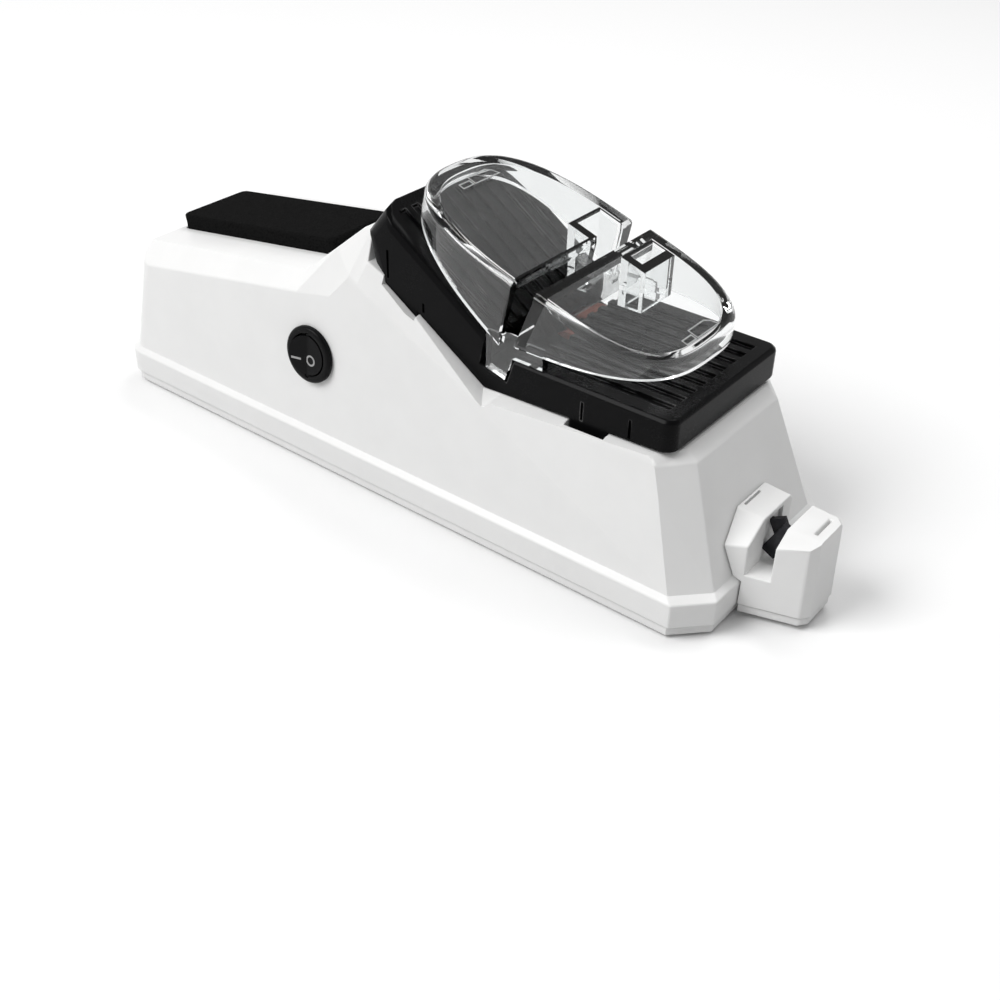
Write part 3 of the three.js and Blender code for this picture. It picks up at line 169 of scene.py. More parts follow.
floor_size = 3.0
floor_shade = 0.55
floor_seen_shade = 0.97
floor_roughness = 0.9
floor_paint, floor_shader, floor_wire = material(
    "floor_paint", Roughness=floor_roughness, Specular_IOR_Level=0.0)
straight, by_gloss, through_glass = seen_rays(floor_wire)
looked_at = straight.larger(by_gloss).larger(through_glass)
feed(floor_shader, Base_Color=looked_at.mix(grey(floor_shade), grey(floor_seen_shade)))
floor_mesh = bpy.data.meshes.new("floor")
half_floor = floor_size / 2
floor_corners = [(-half_floor, -half_floor, 0), (half_floor, -half_floor, 0),
                 (half_floor, half_floor, 0), (-half_floor, half_floor, 0)]
floor_mesh.from_pydata(floor_corners, [], [(0, 1, 2, 3)])
floor_mesh.materials.append(floor_paint)
floor = bpy.data.objects.new("floor", floor_mesh)
bpy.context.collection.objects.link(floor)


def lamp(name, location, power, width, height):
    """A soft lamp that looks at the middle of the sharpener's base."""
    light = bpy.data.lights.new(name, "AREA")
    light.shape = "RECTANGLE"
    light.size = width
    light.size_y = height
    light.energy = power
    holder = bpy.data.objects.new(name, light)
    holder.location = location
    holder.rotation_euler = (-Vector(location)).to_track_quat("-Z", "Y").to_euler()
    bpy.context.collection.objects.link(holder)


lamp("key_lamp", (-0.92, -1.48, 1.86), power=48.0, width=1.35, height=1.35)
lamp("top_lamp", (0.1, 0.5, 1.1), power=4.5, width=0.9, height=0.35)


# Upper housing. One white moulding, open below, with sloping ends and sides on a wider skirt;
# its edges are softly rounded and its face has the fine even grain of moulded plastic.
mm = 0.001
shell_shade = (0.86, 0.86, 0.855, 1)
shell_deep_shade = (0.84, 0.84, 0.835, 1)
cloud_scale = 60.0
cloud_detail = 4.0
cloud_fade = 0.6
cloud_low, cloud_high = 0.3, 0.7
grain_scale = 2600.0
grain_detail = 2.0
grain_height = 0.02 * mm
# How far the edge mask reaches and from what turn; the smoother edges and the painted edge
# highlight both follow it.
edge_reach = 0.6 * mm
edge_turn_low, edge_turn_high = 0.01, 0.12
# The painted edge highlight falls in patches between these cloud values, at this share.
highlight_patch_low, highlight_patch_high = 0.45, 0.6
highlight_share = 0.5
cloud_roughness = 0.12
grain_roughness = 0.06
rubbed_polish = 0.06


def place_of(wire):
    """Where a point is on its piece, in metres."""
    return wire.add("ShaderNodeTexCoord", {}, {}, "Object")


def noise(wire, scale, detail=3.0, roughness=0.5):
    return wire.add("ShaderNodeTexNoise", {}, {
        "Vector": place_of(wire), "Scale": scale, "Detail": detail, "Roughness": roughness})


def bump(height, strength, distance):
    return height.add("ShaderNodeBump", {}, {
        "Height": height, "Strength": strength, "Distance": distance})


def rubbed_and_highlit_edge(wire):
    """1 along the edges of a piece, 0 on its faces; it makes edges smoother and carries the painted
    edge highlight.
    """
    soft = wire.add("ShaderNodeBevel", {"samples": 4}, {"Radius": edge_reach})
    hard = wire.add("ShaderNodeNewGeometry", {}, {}, "Normal")
    along = wire.add(
        "ShaderNodeVectorMath", {"operation": "DOT_PRODUCT"}, {0: soft, 1: hard}, "Value")
    return (1.0 - along).step(edge_turn_low, edge_turn_high)


def moulded(name, shade, deep_shade, roughness, grain, specular=0.5, painted_highlight_shade=None):
    """Moulded plastic: cloudy shade, fine grain and smoother edges; given a highlight shade, its
    edges also get a painted highlight in patches.
    """
    made, shader, wire = material(name, Specular_IOR_Level=specular)
    cloud = noise(wire, cloud_scale, cloud_detail, cloud_fade)
    fine = noise(wire, grain_scale, grain_detail)
    edge = rubbed_and_highlit_edge(wire)
    body = cloud.step(cloud_low, cloud_high).mix(deep_shade, shade)
    # Painted highlight: the edges turn paler in patches, in place of light caught by the rounded
    # edges.
    if painted_highlight_shade:
        highlight_patches = cloud.step(highlight_patch_low, highlight_patch_high)
        body = (edge * highlight_patches * highlight_share).mix(body, painted_highlight_shade)
    least_roughness = roughness - (cloud_roughness + grain_roughness) / 2
    feed(shader, Base_Color=body,
         Roughness=cloud * cloud_roughness + fine * grain_roughness + least_roughness
         - edge * rubbed_polish,
         Normal=bump(fine, grain, grain_height))
    return made


white_plastic = moulded(
    "white_plastic", shell_shade, shell_deep_shade, roughness=0.4, grain=0.35)


def ride(piece, body, paint):
    """A piece wears a paint and rides on a body."""
    piece.data.materials.clear()
    piece.data.materials.append(paint)
    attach(piece, body)


def settled(piece):
    """A piece with its modifiers carried out."""
    bpy.context.view_layer.update()
    depsgraph = bpy.context.evaluated_depsgraph_get()
    finished = bpy.data.meshes.new_from_object(piece.evaluated_get(depsgraph))
    piece.modifiers.clear()
    piece.data = finished
    return piece


def as_object(bm, name):
    """A new object from a mesh in work, which is used up."""
    mesh = bpy.data.meshes.new(name)
    bm.to_mesh(mesh)
    bm.free()
    made = bpy.data.objects.new(name, mesh)
    bpy.context.collection.objects.link(made)
    return made


wide_face = 150 * mm * mm
wide_turn = 2


def as_piece(bm, name, angle=35):
    """A finished object: smooth over its rounded edges, flat on its wide faces."""
    bmesh.ops.recalc_face_normals(bm, faces=bm.faces)
    for face in bm.faces:
        face.smooth = True
    for edge in bm.edges:
        if len(edge.link_faces) == 2:
            turn = edge.calc_face_angle(0.0)
            between_wide = min(face.calc_area() for face in edge.link_faces) > wide_face
            edge.smooth = turn < math.radians(wide_turn if between_wide else angle)
    piece = as_object(bm, name)
    even = piece.modifiers.new("even", "WEIGHTED_NORMAL")
    even.keep_sharp = True
    return settled(piece)


flat_turn = 0.6
corner_reach = 0.9 * mm


def node_mesh(node, least=0.1 * mm, corners=()):
    """The CAD solid of a node with its flat faces whole, ready for rounding.

    Points closer than the least distance are merged, and those round each given corner too."""
    bm = bmesh.new()
    bm.from_mesh(nodes[node].data)
    bmesh.ops.remove_doubles(bm, verts=bm.verts, dist=least)
    for corner in corners:
        near = [vert for vert in bm.verts if (vert.co - corner).length < corner_reach]
        bmesh.ops.pointmerge(bm, verts=near, merge_co=corner)
    bmesh.ops.dissolve_limit(
        bm, angle_limit=math.radians(flat_turn), verts=bm.verts, edges=bm.edges)
    bm.edges.index_update()
    return bm


shortest_edge = 0.6 * mm
least_room = 2.2
look_out_start = 0.1 * mm


def outer_edges(bm, width, least_angle):
    """The edges that stand out in the open between two faces wide enough for a rounding."""
    skin = BVHTree.FromBMesh(bm)
    edges = []
    for edge in bm.edges:
        if len(edge.link_faces) != 2 or edge.calc_length() < shortest_edge or not edge.is_convex:
            continue
        if edge.calc_face_angle(0.0) < math.radians(least_angle):
            continue
        start = edge.verts[0].co
        way = (edge.verts[1].co - start).normalized()
        rooms = [max((vert.co - start).cross(way).length for vert in face.verts)
                 for face in edge.link_faces]
        if min(rooms) < least_room * width:
            continue
        middle = (start + edge.verts[1].co) / 2
        out = (edge.link_faces[0].normal + edge.link_faces[1].normal).normalized()
        if not skin.ray_cast(middle + out * look_out_start, out)[0]:
            edges.append(edge)
    return edges


weld_reach = 0.001 * mm


def bevel(bm, edges, width, steps, clamped=False):
    """Rounds edges of a mesh in work."""
    bmesh.ops.bevel(
        bm, geom=edges, offset=width, offset_type="OFFSET", segments=steps, profile=0.5,
        affect="EDGES", clamp_overlap=clamped, loop_slide=True)
    bmesh.ops.remove_doubles(bm, verts=bm.verts, dist=weld_reach)


shortest_fold = 2 * mm
least_turn_area = 1e-12
least_agreement = 0.8


def folds(bm):
    """The corners of each long triangle that doesn't lie flat in the face it belongs to."""
    bm.normal_update()
    found = []
    for loops in bm.calc_loop_triangles():
        points = [loop.vert.co.copy() for loop in loops]
        turn = (points[1] - points[0]).cross(points[2] - points[0])
        longest = max((points[side] - points[side - 1]).length for side in range(3))
        face = loops[0].face
        if len(face.verts) > 3 and longest > shortest_fold and turn.length > least_turn_area:
            if turn.normalized().dot(face.normal) < least_agreement:
                found.append(points)
    return found


def away_from(edge, places, reach):
    """True where an edge keeps its distance from all places."""
    start, end = (vert.co for vert in edge.verts)
    for place in places:
        share = (place - start).dot(end - start) / (end - start).length_squared
        if (start.lerp(end, max(0.0, min(1.0, share))) - place).length < reach:
            return False
    return True


def shortest_side_middle(points):
    sides = [(points[side] - points[side - 1]).length for side in range(3)]
    side = sides.index(min(sides))
    return (points[side] + points[side - 1]) / 2


rounding_tries = 10
keep_off = 2


def rounded(bm, width, least_angle, steps=2):
    """Rounds the outer edges, apart from the few whose roundings would run into each other.

    Each try rounds a copy and leaves out the edges next to the folds that it finds there."""
    kept = [edge.index for edge in outer_edges(bm, width, least_angle)]
    for _ in range(rounding_tries):
        trial = bm.copy()
        trial.edges.ensure_lookup_table()
        bevel(trial, [trial.edges[index] for index in kept], width, steps)
        found = folds(trial)
        trial.free()
        bm.edges.ensure_lookup_table()
        near = [shortest_side_middle(points) for points in found]
        fewer = [index for index in kept if away_from(bm.edges[index], near, keep_off * width)]
        if found and len(fewer) == len(kept):
            near = [point for points in found for point in points]
            fewer = [index for index in kept if away_from(bm.edges[index], near, keep_off * width)]
        if len(fewer) == len(kept):
            break
        kept = fewer
    bm.edges.ensure_lookup_table()
    bevel(bm, [bm.edges[index] for index in kept], width, steps)


close_merge = 0.02 * mm
soft_steps = 2


def softened(node, body, paint, width, least_angle=30, least_length=0.0):
    """A copy of a CAD piece with rounded edges stands in its place."""
    bm = node_mesh(node, close_merge)
    edges = [edge for edge in bm.edges
             if len(edge.link_faces) == 2 and edge.calc_length() >= least_length
             and abs(edge.calc_face_angle(0.0)) >= math.radians(least_angle)]
    bevel(bm, edges, width, soft_steps, clamped=True)
    piece = as_piece(bm, f"{node}_softened")
    ride(piece, body, paint)
    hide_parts(node)


origin_x = 124.25
foot_stand = 1.0


def spot(x, y, z):
    """A point given in millimetres from the rear end and the base plate's underside."""
    return Vector(((x - origin_x) * mm, y * mm, (z + foot_stand) * mm))


merge_reach = 0.4 * mm
housing_round = 0.45 * mm
skirt_corners = [spot(219.1, side * 35.7, 12.3) for side in (-1, 1)]
housing_mesh = node_mesh("upper_housing", merge_reach, skirt_corners)
rounded(housing_mesh, housing_round, least_angle=12, steps=3)
housing = as_piece(housing_mesh, "housing_shell")
ride(housing, "housing", white_plastic)
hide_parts("upper_housing")


# Base plate, its four screws and four rubber feet. The plate is a flat white cover set in from the
# skirt; the feet are moulded rubber discs pressed into round recesses.
softened("base_plate", "housing", white_plastic, 0.5 * mm,
         least_angle=50, least_length=4 * mm)
rubber = moulded("black_rubber", grey(0.018), grey(0.012), roughness=0.85, grain=0.6, specular=0.3)
corner_places = ["rear_near", "rear_far", "front_near", "front_far"]
for place in corner_places:
    softened(f"foot_{place}", "housing", rubber, 0.5 * mm)

metal_cloud_scale = 180.0
metal_cloud_roughness = 0.15
scratch_detail = 3.0
scratch_roughness = 0.2
scratch_strength = 0.25
scratch_height = 0.03 * mm
metal_roughness_drop = 0.17


def metal(name, shade, deep_shade, roughness, scratch_scale=900.0, stretch=(1, 1, 1)):
    """Bare metal: cloudy shade and fine scratches, drawn out where the stretch is small."""
    made, shader, wire = material(name, Metallic=1.0)
    way = wire.add("ShaderNodeMapping", {}, {"Vector": place_of(wire), "Scale": stretch})
    scratch = wire.add("ShaderNodeTexNoise", {}, {
        "Vector": way, "Scale": scratch_scale, "Detail": scratch_detail})
    cloud = noise(wire, metal_cloud_scale)
    feed(shader, Base_Color=cloud.step(cloud_low, cloud_high).mix(deep_shade, shade),
         Roughness=cloud * metal_cloud_roughness + scratch * scratch_roughness
         + (roughness - metal_roughness_drop),
         Normal=bump(scratch, scratch_strength, scratch_height))
    return made


zinc = metal("zinc_steel", (0.56, 0.57, 0.58, 1), (0.42, 0.43, 0.45, 1), roughness=0.42)
screw_head = [(1.86 * mm, 0.0), (2.35 * mm, 0.14 * mm), (2.7 * mm, 0.49 * mm), (2.7 * mm, 1.6 * mm)]
screw_shank_radius = 1.4 * mm
screw_tip_radius = 0.49 * mm
screw_tip = 1.2 * mm
screw_sides = 32
screw_smooth_angle = 40
recess_reach = 1.6 * mm
recess_half = 0.35 * mm
recess_depth = 1.0 * mm


def span(node):
    """The lowest and the highest corner of a CAD piece."""
    corners = [vert.co for vert in nodes[node].data.vertices]
    return (Vector([min(corner[axis] for corner in corners) for axis in range(3)]),
            Vector([max(corner[axis] for corner in corners) for axis in range(3)]))


def closed_loft(rings, looped=False):
    """A solid through rings of equal point counts, with flat ends or joined to a loop."""
    bm = bmesh.new()
    rows = [[bm.verts.new(point) for point in ring] for ring in rings]
    count = len(rings[0])
    after_rows = rows[1:] + rows[:1] if looped else rows[1:]
    for lower, upper in zip(rows, after_rows):
        for index in range(count):
            after = (index + 1) % count
            bm.faces.new((lower[index], lower[after], upper[after], upper[index]))
    if not looped:
        bm.faces.new(rows[0][::-1])
        bm.faces.new(rows[-1])
    bmesh.ops.recalc_face_normals(bm, faces=bm.faces)
    return bm


def circle(radius, height, sides):
    """The points of a level circle about Z."""
    turns = [2 * math.pi * side / sides for side in range(sides)]
    return [Vector((radius * math.cos(turn), radius * math.sin(turn), height)) for turn in turns]


def turned(profile, sides):
    """A turned solid about Z from a profile of (radius, height), between two flat ends."""
    return closed_loft([circle(radius, height, sides) for radius, height in profile])


def combined(base, operation, other):
    """The base solid joined with, cut by or kept within another; the other is used up."""
    change = base.modifiers.new("combine", "BOOLEAN")
    change.operation = operation
    change.solver = "EXACT"
    change.object = other
    settled(base)
    bpy.data.objects.remove(other)
    return base


def brick(low, high):
    """A block between two corners, to cut or join with."""
    bm = bmesh.new()
    bmesh.ops.create_cube(bm, size=1)
    for vert in bm.verts:
        vert.co = Vector([low[axis] + (high[axis] - low[axis]) * (vert.co[axis] + 0.5)
                          for axis in range(3)])
    return as_object(bm, "brick")


def taken_back(piece):
    """The mesh in work of an object that is not needed any more."""
    bm = bmesh.new()
    bm.from_mesh(piece.data)
    bpy.data.objects.remove(piece)
    return bm


def cross_screw(node, head_end, way):
    """A pan-head screw with a cross recess, from the face of its head along a way."""
    low, high = span(node)
    length = (high - low).dot(Vector([abs(part) for part in way]))
    shank = [(screw_shank_radius, screw_head[-1][1]), (screw_shank_radius, length - screw_tip),
             (screw_tip_radius, length)]
    screw = as_object(turned(screw_head + shank, screw_sides), "screw")
    for reach, half in [(recess_reach, recess_half), (recess_half, recess_reach)]:
        screw = combined(
            screw, "DIFFERENCE", brick((-reach, -half, -mm), (reach, half, recess_depth)))
    bm = taken_back(screw)
    middle = (low + high) / 2
    start = Vector([head_end if part else middle[axis] for axis, part in enumerate(way)])
    turn = Vector((0, 0, 1)).rotation_difference(Vector(way)).to_matrix().to_4x4()
    bm.transform(Matrix.Translation(start) @ turn)
    piece = as_piece(bm, f"{node}_head_and_shank", screw_smooth_angle)
    ride(piece, "housing", zinc)
    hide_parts(node)


for place in corner_places:
    cross_screw(f"base_screw_{place}", span(f"base_screw_{place}")[0].z, (0, 0, 1))


# Blade table. One black moulding with a steep and a gentle slope, ribs along both and snap tabs
# low on its sides, each between two short slits; its edges carry a pale painted highlight.
table_half = 27.9
table_round = 0.3 * mm
slit_width = 0.8
slit_depth = 1.2
table_slits = [
    (115.4, 68.6, 77.0), (128.4, 62.0, 64.8), (183.0, 48.4, 54.0), (198.0, 48.9, 54.4)]

# The pale grey on the edges is a painted highlight, in place of light caught by the rims and rib
# edges.
table_black = moulded(
    "black_gloss_plastic", (0.0042, 0.0042, 0.0045, 1), (0.0034, 0.0034, 0.0037, 1),
    roughness=0.26, grain=0.12, specular=0.06, painted_highlight_shade=grey(0.26))
table_mesh = node_mesh("angle_table")
rounded(table_mesh, table_round, least_angle=25)
table = as_object(table_mesh, "blade_table")
for x, low_z, high_z in table_slits:
    for side in (-1, 1):
        low_y = side * table_half - slit_depth
        high_y = side * table_half + slit_depth
        table = combined(table, "DIFFERENCE", brick(
            spot(x, low_y, low_z), spot(x + slit_width, high_y, high_z)))
table = as_piece(taken_back(table), "blade_table")
ride(table, "table", table_black)
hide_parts("angle_table")


# Clear guard. Two cups of clear plastic, open below over the slopes, with flat sloping tops and
# rounded rims, joined by feet that stand in the valley; each top shows a knife's outline.
guard_wall = 1.8
guard_round = 2.2
guard_steps = 96
guard_round_steps = 6
cup_half = 26.4
cup_foot_half = 28.6
blade_gap = 4.6
ramp_foot_x = 150.4
ramp_foot_height = 60.6
ramp_slope_share = 0.6675
gentle_height = 58.0
rear_edge_x, rear_edge_height, rear_slope_share = 159.4, 80.8, 0.325
front_edge_x, front_edge_height, front_slope_share = 166.6, 79.6, 0.31
pocket_near_y, pocket_far_y = 10.6, 22.4
rear_pocket_x = 152.2
front_pocket_x, front_pocket_end_x = 170.5, 174.8
cut_overrun = 2.0
loft_height = 95.0
acrylic_ior = 1.49
haze_scale = 90.0
haze_detail = 4.0
haze_low, haze_high = 0.5, 0.8
haze_roughness = 0.03
clear_roughness = 0.02

clear_plastic, clear_shader, clear_wire = material(
    "clear_plastic", Base_Color=(0.97, 0.98, 0.98, 1), IOR=acrylic_ior, Transmission_Weight=1.0)
haze = noise(clear_wire, haze_scale, haze_detail).step(haze_low, haze_high)
feed(clear_shader, Roughness=haze * haze_roughness + clear_roughness)


def ramp_height(x):
    """How high the steep slope is, in millimetres."""
    return ramp_foot_height + ramp_slope_share * (ramp_foot_x - x)


def rear_top(x):
    return rear_edge_height + rear_slope_share * (rear_edge_x - x)


def front_top(x):
    return front_edge_height - front_slope_share * (x - front_edge_x)


rear_cup = {
    "edge_x": rear_edge_x, "way": -1, "length": 41.5, "power": 2.67, "top": rear_top,
    "foot_x": 156.0, "foot_length": 41.3, "foot": lambda x: ramp_height(x) + blade_gap,
}
front_cup = {
    "edge_x": front_edge_x, "way": 1, "length": 35.8, "power": 3.0, "top": front_top,
    "foot_x": 161.0, "foot_length": 43.6, "foot": lambda x: gentle_height + blade_gap,
}


def cup_outline(edge_x, way, length, half, power, surface):
    """A cup's D-shaped outline on a surface: straight along the slot, full round the other side."""
    points = []
    for step in range(guard_steps + 1):
        angle = math.pi * (step / guard_steps - 0.5)
        x = edge_x + way * length * max(math.cos(angle), 0) ** (2 / power)
        sine = math.sin(angle)
        y = half * math.copysign(abs(sine) ** (2 / power), sine)
        points.append(spot(x, y, surface(x)))
    return points


def cup(sizes, inset=0, drop=0):
    """One cup as a closed solid, drawn in by a wall thickness and drawn down where asked."""
    edge_x = sizes["edge_x"] + sizes["way"] * inset
    rings = [cup_outline(
        sizes["foot_x"] + sizes["way"] * inset, sizes["way"], sizes["foot_length"] - 2 * inset,
        cup_foot_half - inset, sizes["power"], lambda x: sizes["foot"](x) - drop)]
    for step in range(guard_round_steps + 1):
        angle = math.pi / 2 * step / guard_round_steps
        grow = (guard_round - inset) * math.cos(angle)
        fall = guard_round * (1 - math.sin(angle)) + inset
        rings.append(cup_outline(
            edge_x, sizes["way"], sizes["length"] + grow - 2 * inset, cup_half + grow - inset,
            sizes["power"], lambda x: sizes["top"](x) - fall))
    return as_object(closed_loft(rings), "cup")


pocket_sizes = [
    (rear_cup, rear_pocket_x, rear_edge_x, rear_edge_x + cut_overrun),
    (front_cup, front_pocket_x, front_pocket_end_x, front_pocket_end_x),
]
guard = None
for sizes, from_x, to_x, cut_x in pocket_sizes:
    walls = combined(cup(sizes), "DIFFERENCE", cup(sizes, guard_wall, cut_overrun))
    sleeve = brick(spot(from_x - guard_wall, pocket_near_y - guard_wall, sizes["foot"](from_x)),
                   spot(to_x + guard_wall, pocket_far_y + guard_wall, loft_height))
    walls = combined(walls, "UNION", combined(sleeve, "INTERSECT", cup(sizes)))
    walls = combined(walls, "DIFFERENCE", brick(
        spot(from_x, pocket_near_y, 0.0), spot(cut_x, pocket_far_y, loft_height)))
    guard = combined(guard, "UNION", walls) if guard else walls

seam = 0.3
valley_rear = (149.0, 53.2)
valley_front = (158.3, 50.6)
guard_foot_half = 27.7
foot_bar = 2.4
foot_rear_x, foot_front_x = 151.0, 157.6
bridge_rear_x, bridge_front_x = 160.0, 170.0
bridge_top = gentle_height + blade_gap + guard_wall
guard_weld_reach = 0.002 * mm
guard_smooth_angle = 30


def valley_floor(x):
    """How high the valley between the slopes is, in millimetres."""
    share = (x - valley_rear[0]) / (valley_front[0] - valley_rear[0])
    return valley_rear[1] + (valley_front[1] - valley_rear[1]) * share


foot_outline = [
    (foot_rear_x, valley_floor(foot_rear_x) + seam),
    (foot_front_x, valley_floor(foot_front_x) + seam),
    (bridge_rear_x, gentle_height + seam), (bridge_front_x, gentle_height + seam),
    (bridge_front_x, bridge_top), (foot_rear_x, bridge_top),
]
for side in (-1, 1):
    outer, inner = side * guard_foot_half, side * (guard_foot_half - foot_bar)
    foot = closed_loft([[spot(x, y, z) for x, z in foot_outline] for y in (inner, outer)])
    guard = combined(guard, "UNION", as_object(foot, "guard_foot"))
guard_mesh = taken_back(guard)
bmesh.ops.remove_doubles(guard_mesh, verts=guard_mesh.verts, dist=guard_weld_reach)
guard = as_piece(guard_mesh, "guard_cups", guard_smooth_angle)
ride(guard, "table", clear_plastic)
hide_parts("clear_guard")

frost_scale = 1200.0
frost_roughness = 0.2
frost_least_roughness = 0.4
frosted_mark, frosted_shader, frosted_wire = material(
    "frosted_mark", IOR=acrylic_ior, Transmission_Weight=0.55)
frost = noise(frosted_wire, frost_scale)
feed(frosted_shader,
     Base_Color=frost.step(cloud_low, cloud_high).mix(
         (0.62, 0.63, 0.63, 1), (0.78, 0.79, 0.79, 1)),
     Roughness=frost * frost_roughness + frost_least_roughness)
mark_width = 0.32
mark_rise = 0.12
mark_sink = 0.05
sharpest_corner = 0.4
rear_mark_x, front_mark_x = 125.0, 199.8
knife_blade = [(8.2, 1.5), (-2.4, 1.5), (-2.4, -1.6), (5.4, -1.6), (7.2, -0.4)]
knife_handle = [(-3.2, 1.5), (-3.2, -0.2), (-7.6, -0.2), (-7.6, 1.5)]


def outline_ridge(points, place):
    """A thin ridge along a closed flat outline; place(point, rise) says where its points lie."""
    rings = []
    count = len(points)
    for index, point in enumerate(points):
        here = Vector(point)
        before = (here - Vector(points[index - 1])).normalized()
        after = (Vector(points[(index + 1) % count]) - here).normalized()
        across = Vector((after.y, -after.x))
        out = (Vector((before.y, -before.x)) + across).normalized()
        reach = mark_width / 2 / max(out.dot(across), sharpest_corner)
        rings.append([place(here + out * reach * way, rise) for way, rise in [
            (-1, -mark_sink), (1, -mark_sink), (1, mark_rise), (-1, mark_rise)]])
    return closed_loft(rings, looped=True)


for name, centre_x, top in [("rear", rear_mark_x, rear_top), ("front", front_mark_x, front_top)]:
    for part, outline in [("blade", knife_blade), ("handle", knife_handle)]:
        ridge = outline_ridge(outline, lambda flat, rise: spot(
            centre_x + flat.y, flat.x, top(centre_x + flat.y) + rise))
        ride(as_piece(ridge, f"{name}_knife_{part}_mark"), "table", frosted_mark)


# Wiping pad. A cut piece of black foam stuck into a shallow recess of the rear deck, with a flat
# top, soft edges and open pores.
pore_scale = 1500.0
pore_edge, pore_wall = 0.05, 0.5
pore_share = 0.7
felt_scale = 3500.0
felt_detail = 2.0
lump_scale = 120.0
lump_roughness = 0.1
foam_roughness = 0.88
foam_bump = 0.9
foam_depth = 0.3 * mm
pad_black, pad_shader, pad_wire = material("black_foam", Specular_IOR_Level=0.02)
pores = pad_wire.add("ShaderNodeTexVoronoi", {}, {
    "Vector": place_of(pad_wire), "Scale": pore_scale})
felt = noise(pad_wire, felt_scale, felt_detail)
lumps = noise(pad_wire, lump_scale)
feed(pad_shader,
     Base_Color=pores.step(pore_edge, pore_wall).mix(grey(0.0015), grey(0.008)),
     Roughness=lumps * lump_roughness + foam_roughness,
     Normal=bump(pores * pore_share + felt * (1 - pore_share), foam_bump, foam_depth))

pad_rear_x, pad_front_x = 11.0, 80.7
pad_half = 14.0
pad_slope_share = 0.156
pad_seat_height = 49.0
pad_top = 5.4
pad_corner = 2.5
pad_edge = 0.8
pad_edge_steps = 4
pad_corner_steps = 8
pad_wave = 0.1
pad_smooth_angle = 50
pad_length = (pad_front_x - pad_rear_x) * math.hypot(1, pad_slope_share)
pad_seat = Matrix.Translation(spot(pad_rear_x, 0, pad_seat_height)) @ Matrix.Rotation(
    -math.atan(pad_slope_share), 4, "Y")


def slab_ring(draw_in, height):
    """The pad's outline with round corners, drawn in a little, at a height over its seat."""
    points = []
    radius = pad_corner - draw_in
    for corner, (at_front, at_far) in enumerate([(1, 1), (0, 1), (0, 0), (1, 0)]):
        for step in range(pad_corner_steps + 1):
            angle = math.pi / 2 * (corner + step / pad_corner_steps)
            x = (pad_length - pad_corner if at_front else pad_corner) + radius * math.cos(angle)
            y = (pad_half - pad_corner) * (1 if at_far else -1) + radius * math.sin(angle)
            points.append(Vector((x * mm, y * mm, height * mm)))
    return points


pad_rings = [(pad_wave, seam), (0.0, 1.0), (pad_wave, 2.6), (0.0, pad_top - pad_edge)]
for step in range(1, pad_edge_steps + 1):
    angle = math.pi / 2 * step / pad_edge_steps
    pad_rings.append((pad_edge * (1 - math.cos(angle)),
                      pad_top - pad_edge * (1 - math.sin(angle))))
pad_mesh = closed_loft([slab_ring(draw_in, height) for draw_in, height in pad_rings])
pad_mesh.transform(pad_seat)
pad = as_piece(pad_mesh, "foam_pad", pad_smooth_angle)
ride(pad, "housing", pad_black)
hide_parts("wiping_pad")


# Rocker switch. A round black switch pressed through the side: a rounded bezel, a dished rocker on
# two pins, and a light bar and ring moulded into its two faces.
switch_black = moulded("switch_black", (0.005, 0.005, 0.0053, 1), (0.004, 0.004, 0.0043, 1),
                       roughness=0.34, grain=0.3, specular=0.08)
mark_grey = moulded("switch_mark_grey", grey(0.42), grey(0.36),
                    roughness=0.5, grain=0.3, specular=0.4)
switch_middle = spot(88.6, -33.45, 37.3)
side_lean = 0.09
switch_out = Vector((0, -1, side_lean)).normalized()
switch_up = Vector((0, side_lean, 1)).normalized()
switch_turn = Matrix((Vector((1, 0, 0)), switch_up, switch_out)).transposed().to_4x4()
switch_place = Matrix.Translation(switch_middle) @ switch_turn
rocker_lean = math.radians(16)
rocker_turn_x = 0.125
rocker_top = 1.991
bezel_profile = [
    (7.0, -14.0), (7.4, -13.6), (7.4, 0.3), (9.0, 0.3), (9.0, 1.2), (8.7, 1.75), (8.1, 2.0),
    (7.0, 2.0), (6.75, 1.8), (6.7, 1.4), (6.7, -4.5)]
bezel_sides = 96
bezel_smooth_angle = 40
pin_height = 1.1
pin_hole_radius = 1.1
pin_hole_reach = 7.3
pin_hole_sides = 24


def scaled(profile):
    """A profile given in millimetres, in metres."""
    return [(radius * mm, height * mm) for radius, height in profile]


bezel = as_object(turned(scaled(bezel_profile), bezel_sides), "bezel")
pin_hole = turned(scaled([(pin_hole_radius, -pin_hole_reach), (pin_hole_radius, pin_hole_reach)]),
                  pin_hole_sides)
pin_hole.transform(
    Matrix.Translation((0, 0, pin_height * mm)) @ Matrix.Rotation(math.pi / 2, 4, "X"))
bezel_mesh = taken_back(combined(bezel, "DIFFERENCE", as_object(pin_hole, "pin_hole")))
bezel_mesh.transform(switch_place)
bezel = as_piece(bezel_mesh, "switch_bezel", bezel_smooth_angle)
ride(bezel, "housing", switch_black)
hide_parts("switch_body")
softened("rocker_button", "rocker", switch_black, 0.25 * mm,
         least_angle=35, least_length=0.8 * mm)

mark_depth = 0.05
bar_rear_x, bar_front_x, bar_y, bar_half = -5.1, -1.9, -1.6, 0.33
bar_mesh = bmesh.new()
bmesh.ops.create_cube(bar_mesh, size=1)
for vert in bar_mesh.verts:
    along = bar_front_x if vert.co.x > 0 else bar_rear_x
    height = rocker_top + (rocker_turn_x - along) * math.tan(rocker_lean)
    vert.co = Vector((along, bar_y + math.copysign(bar_half, vert.co.y),
                      height + math.copysign(mark_depth, vert.co.z))) * mm
bar_mesh.transform(switch_place)
ride(as_piece(bar_mesh, "switch_bar_mark"), "rocker", mark_grey)

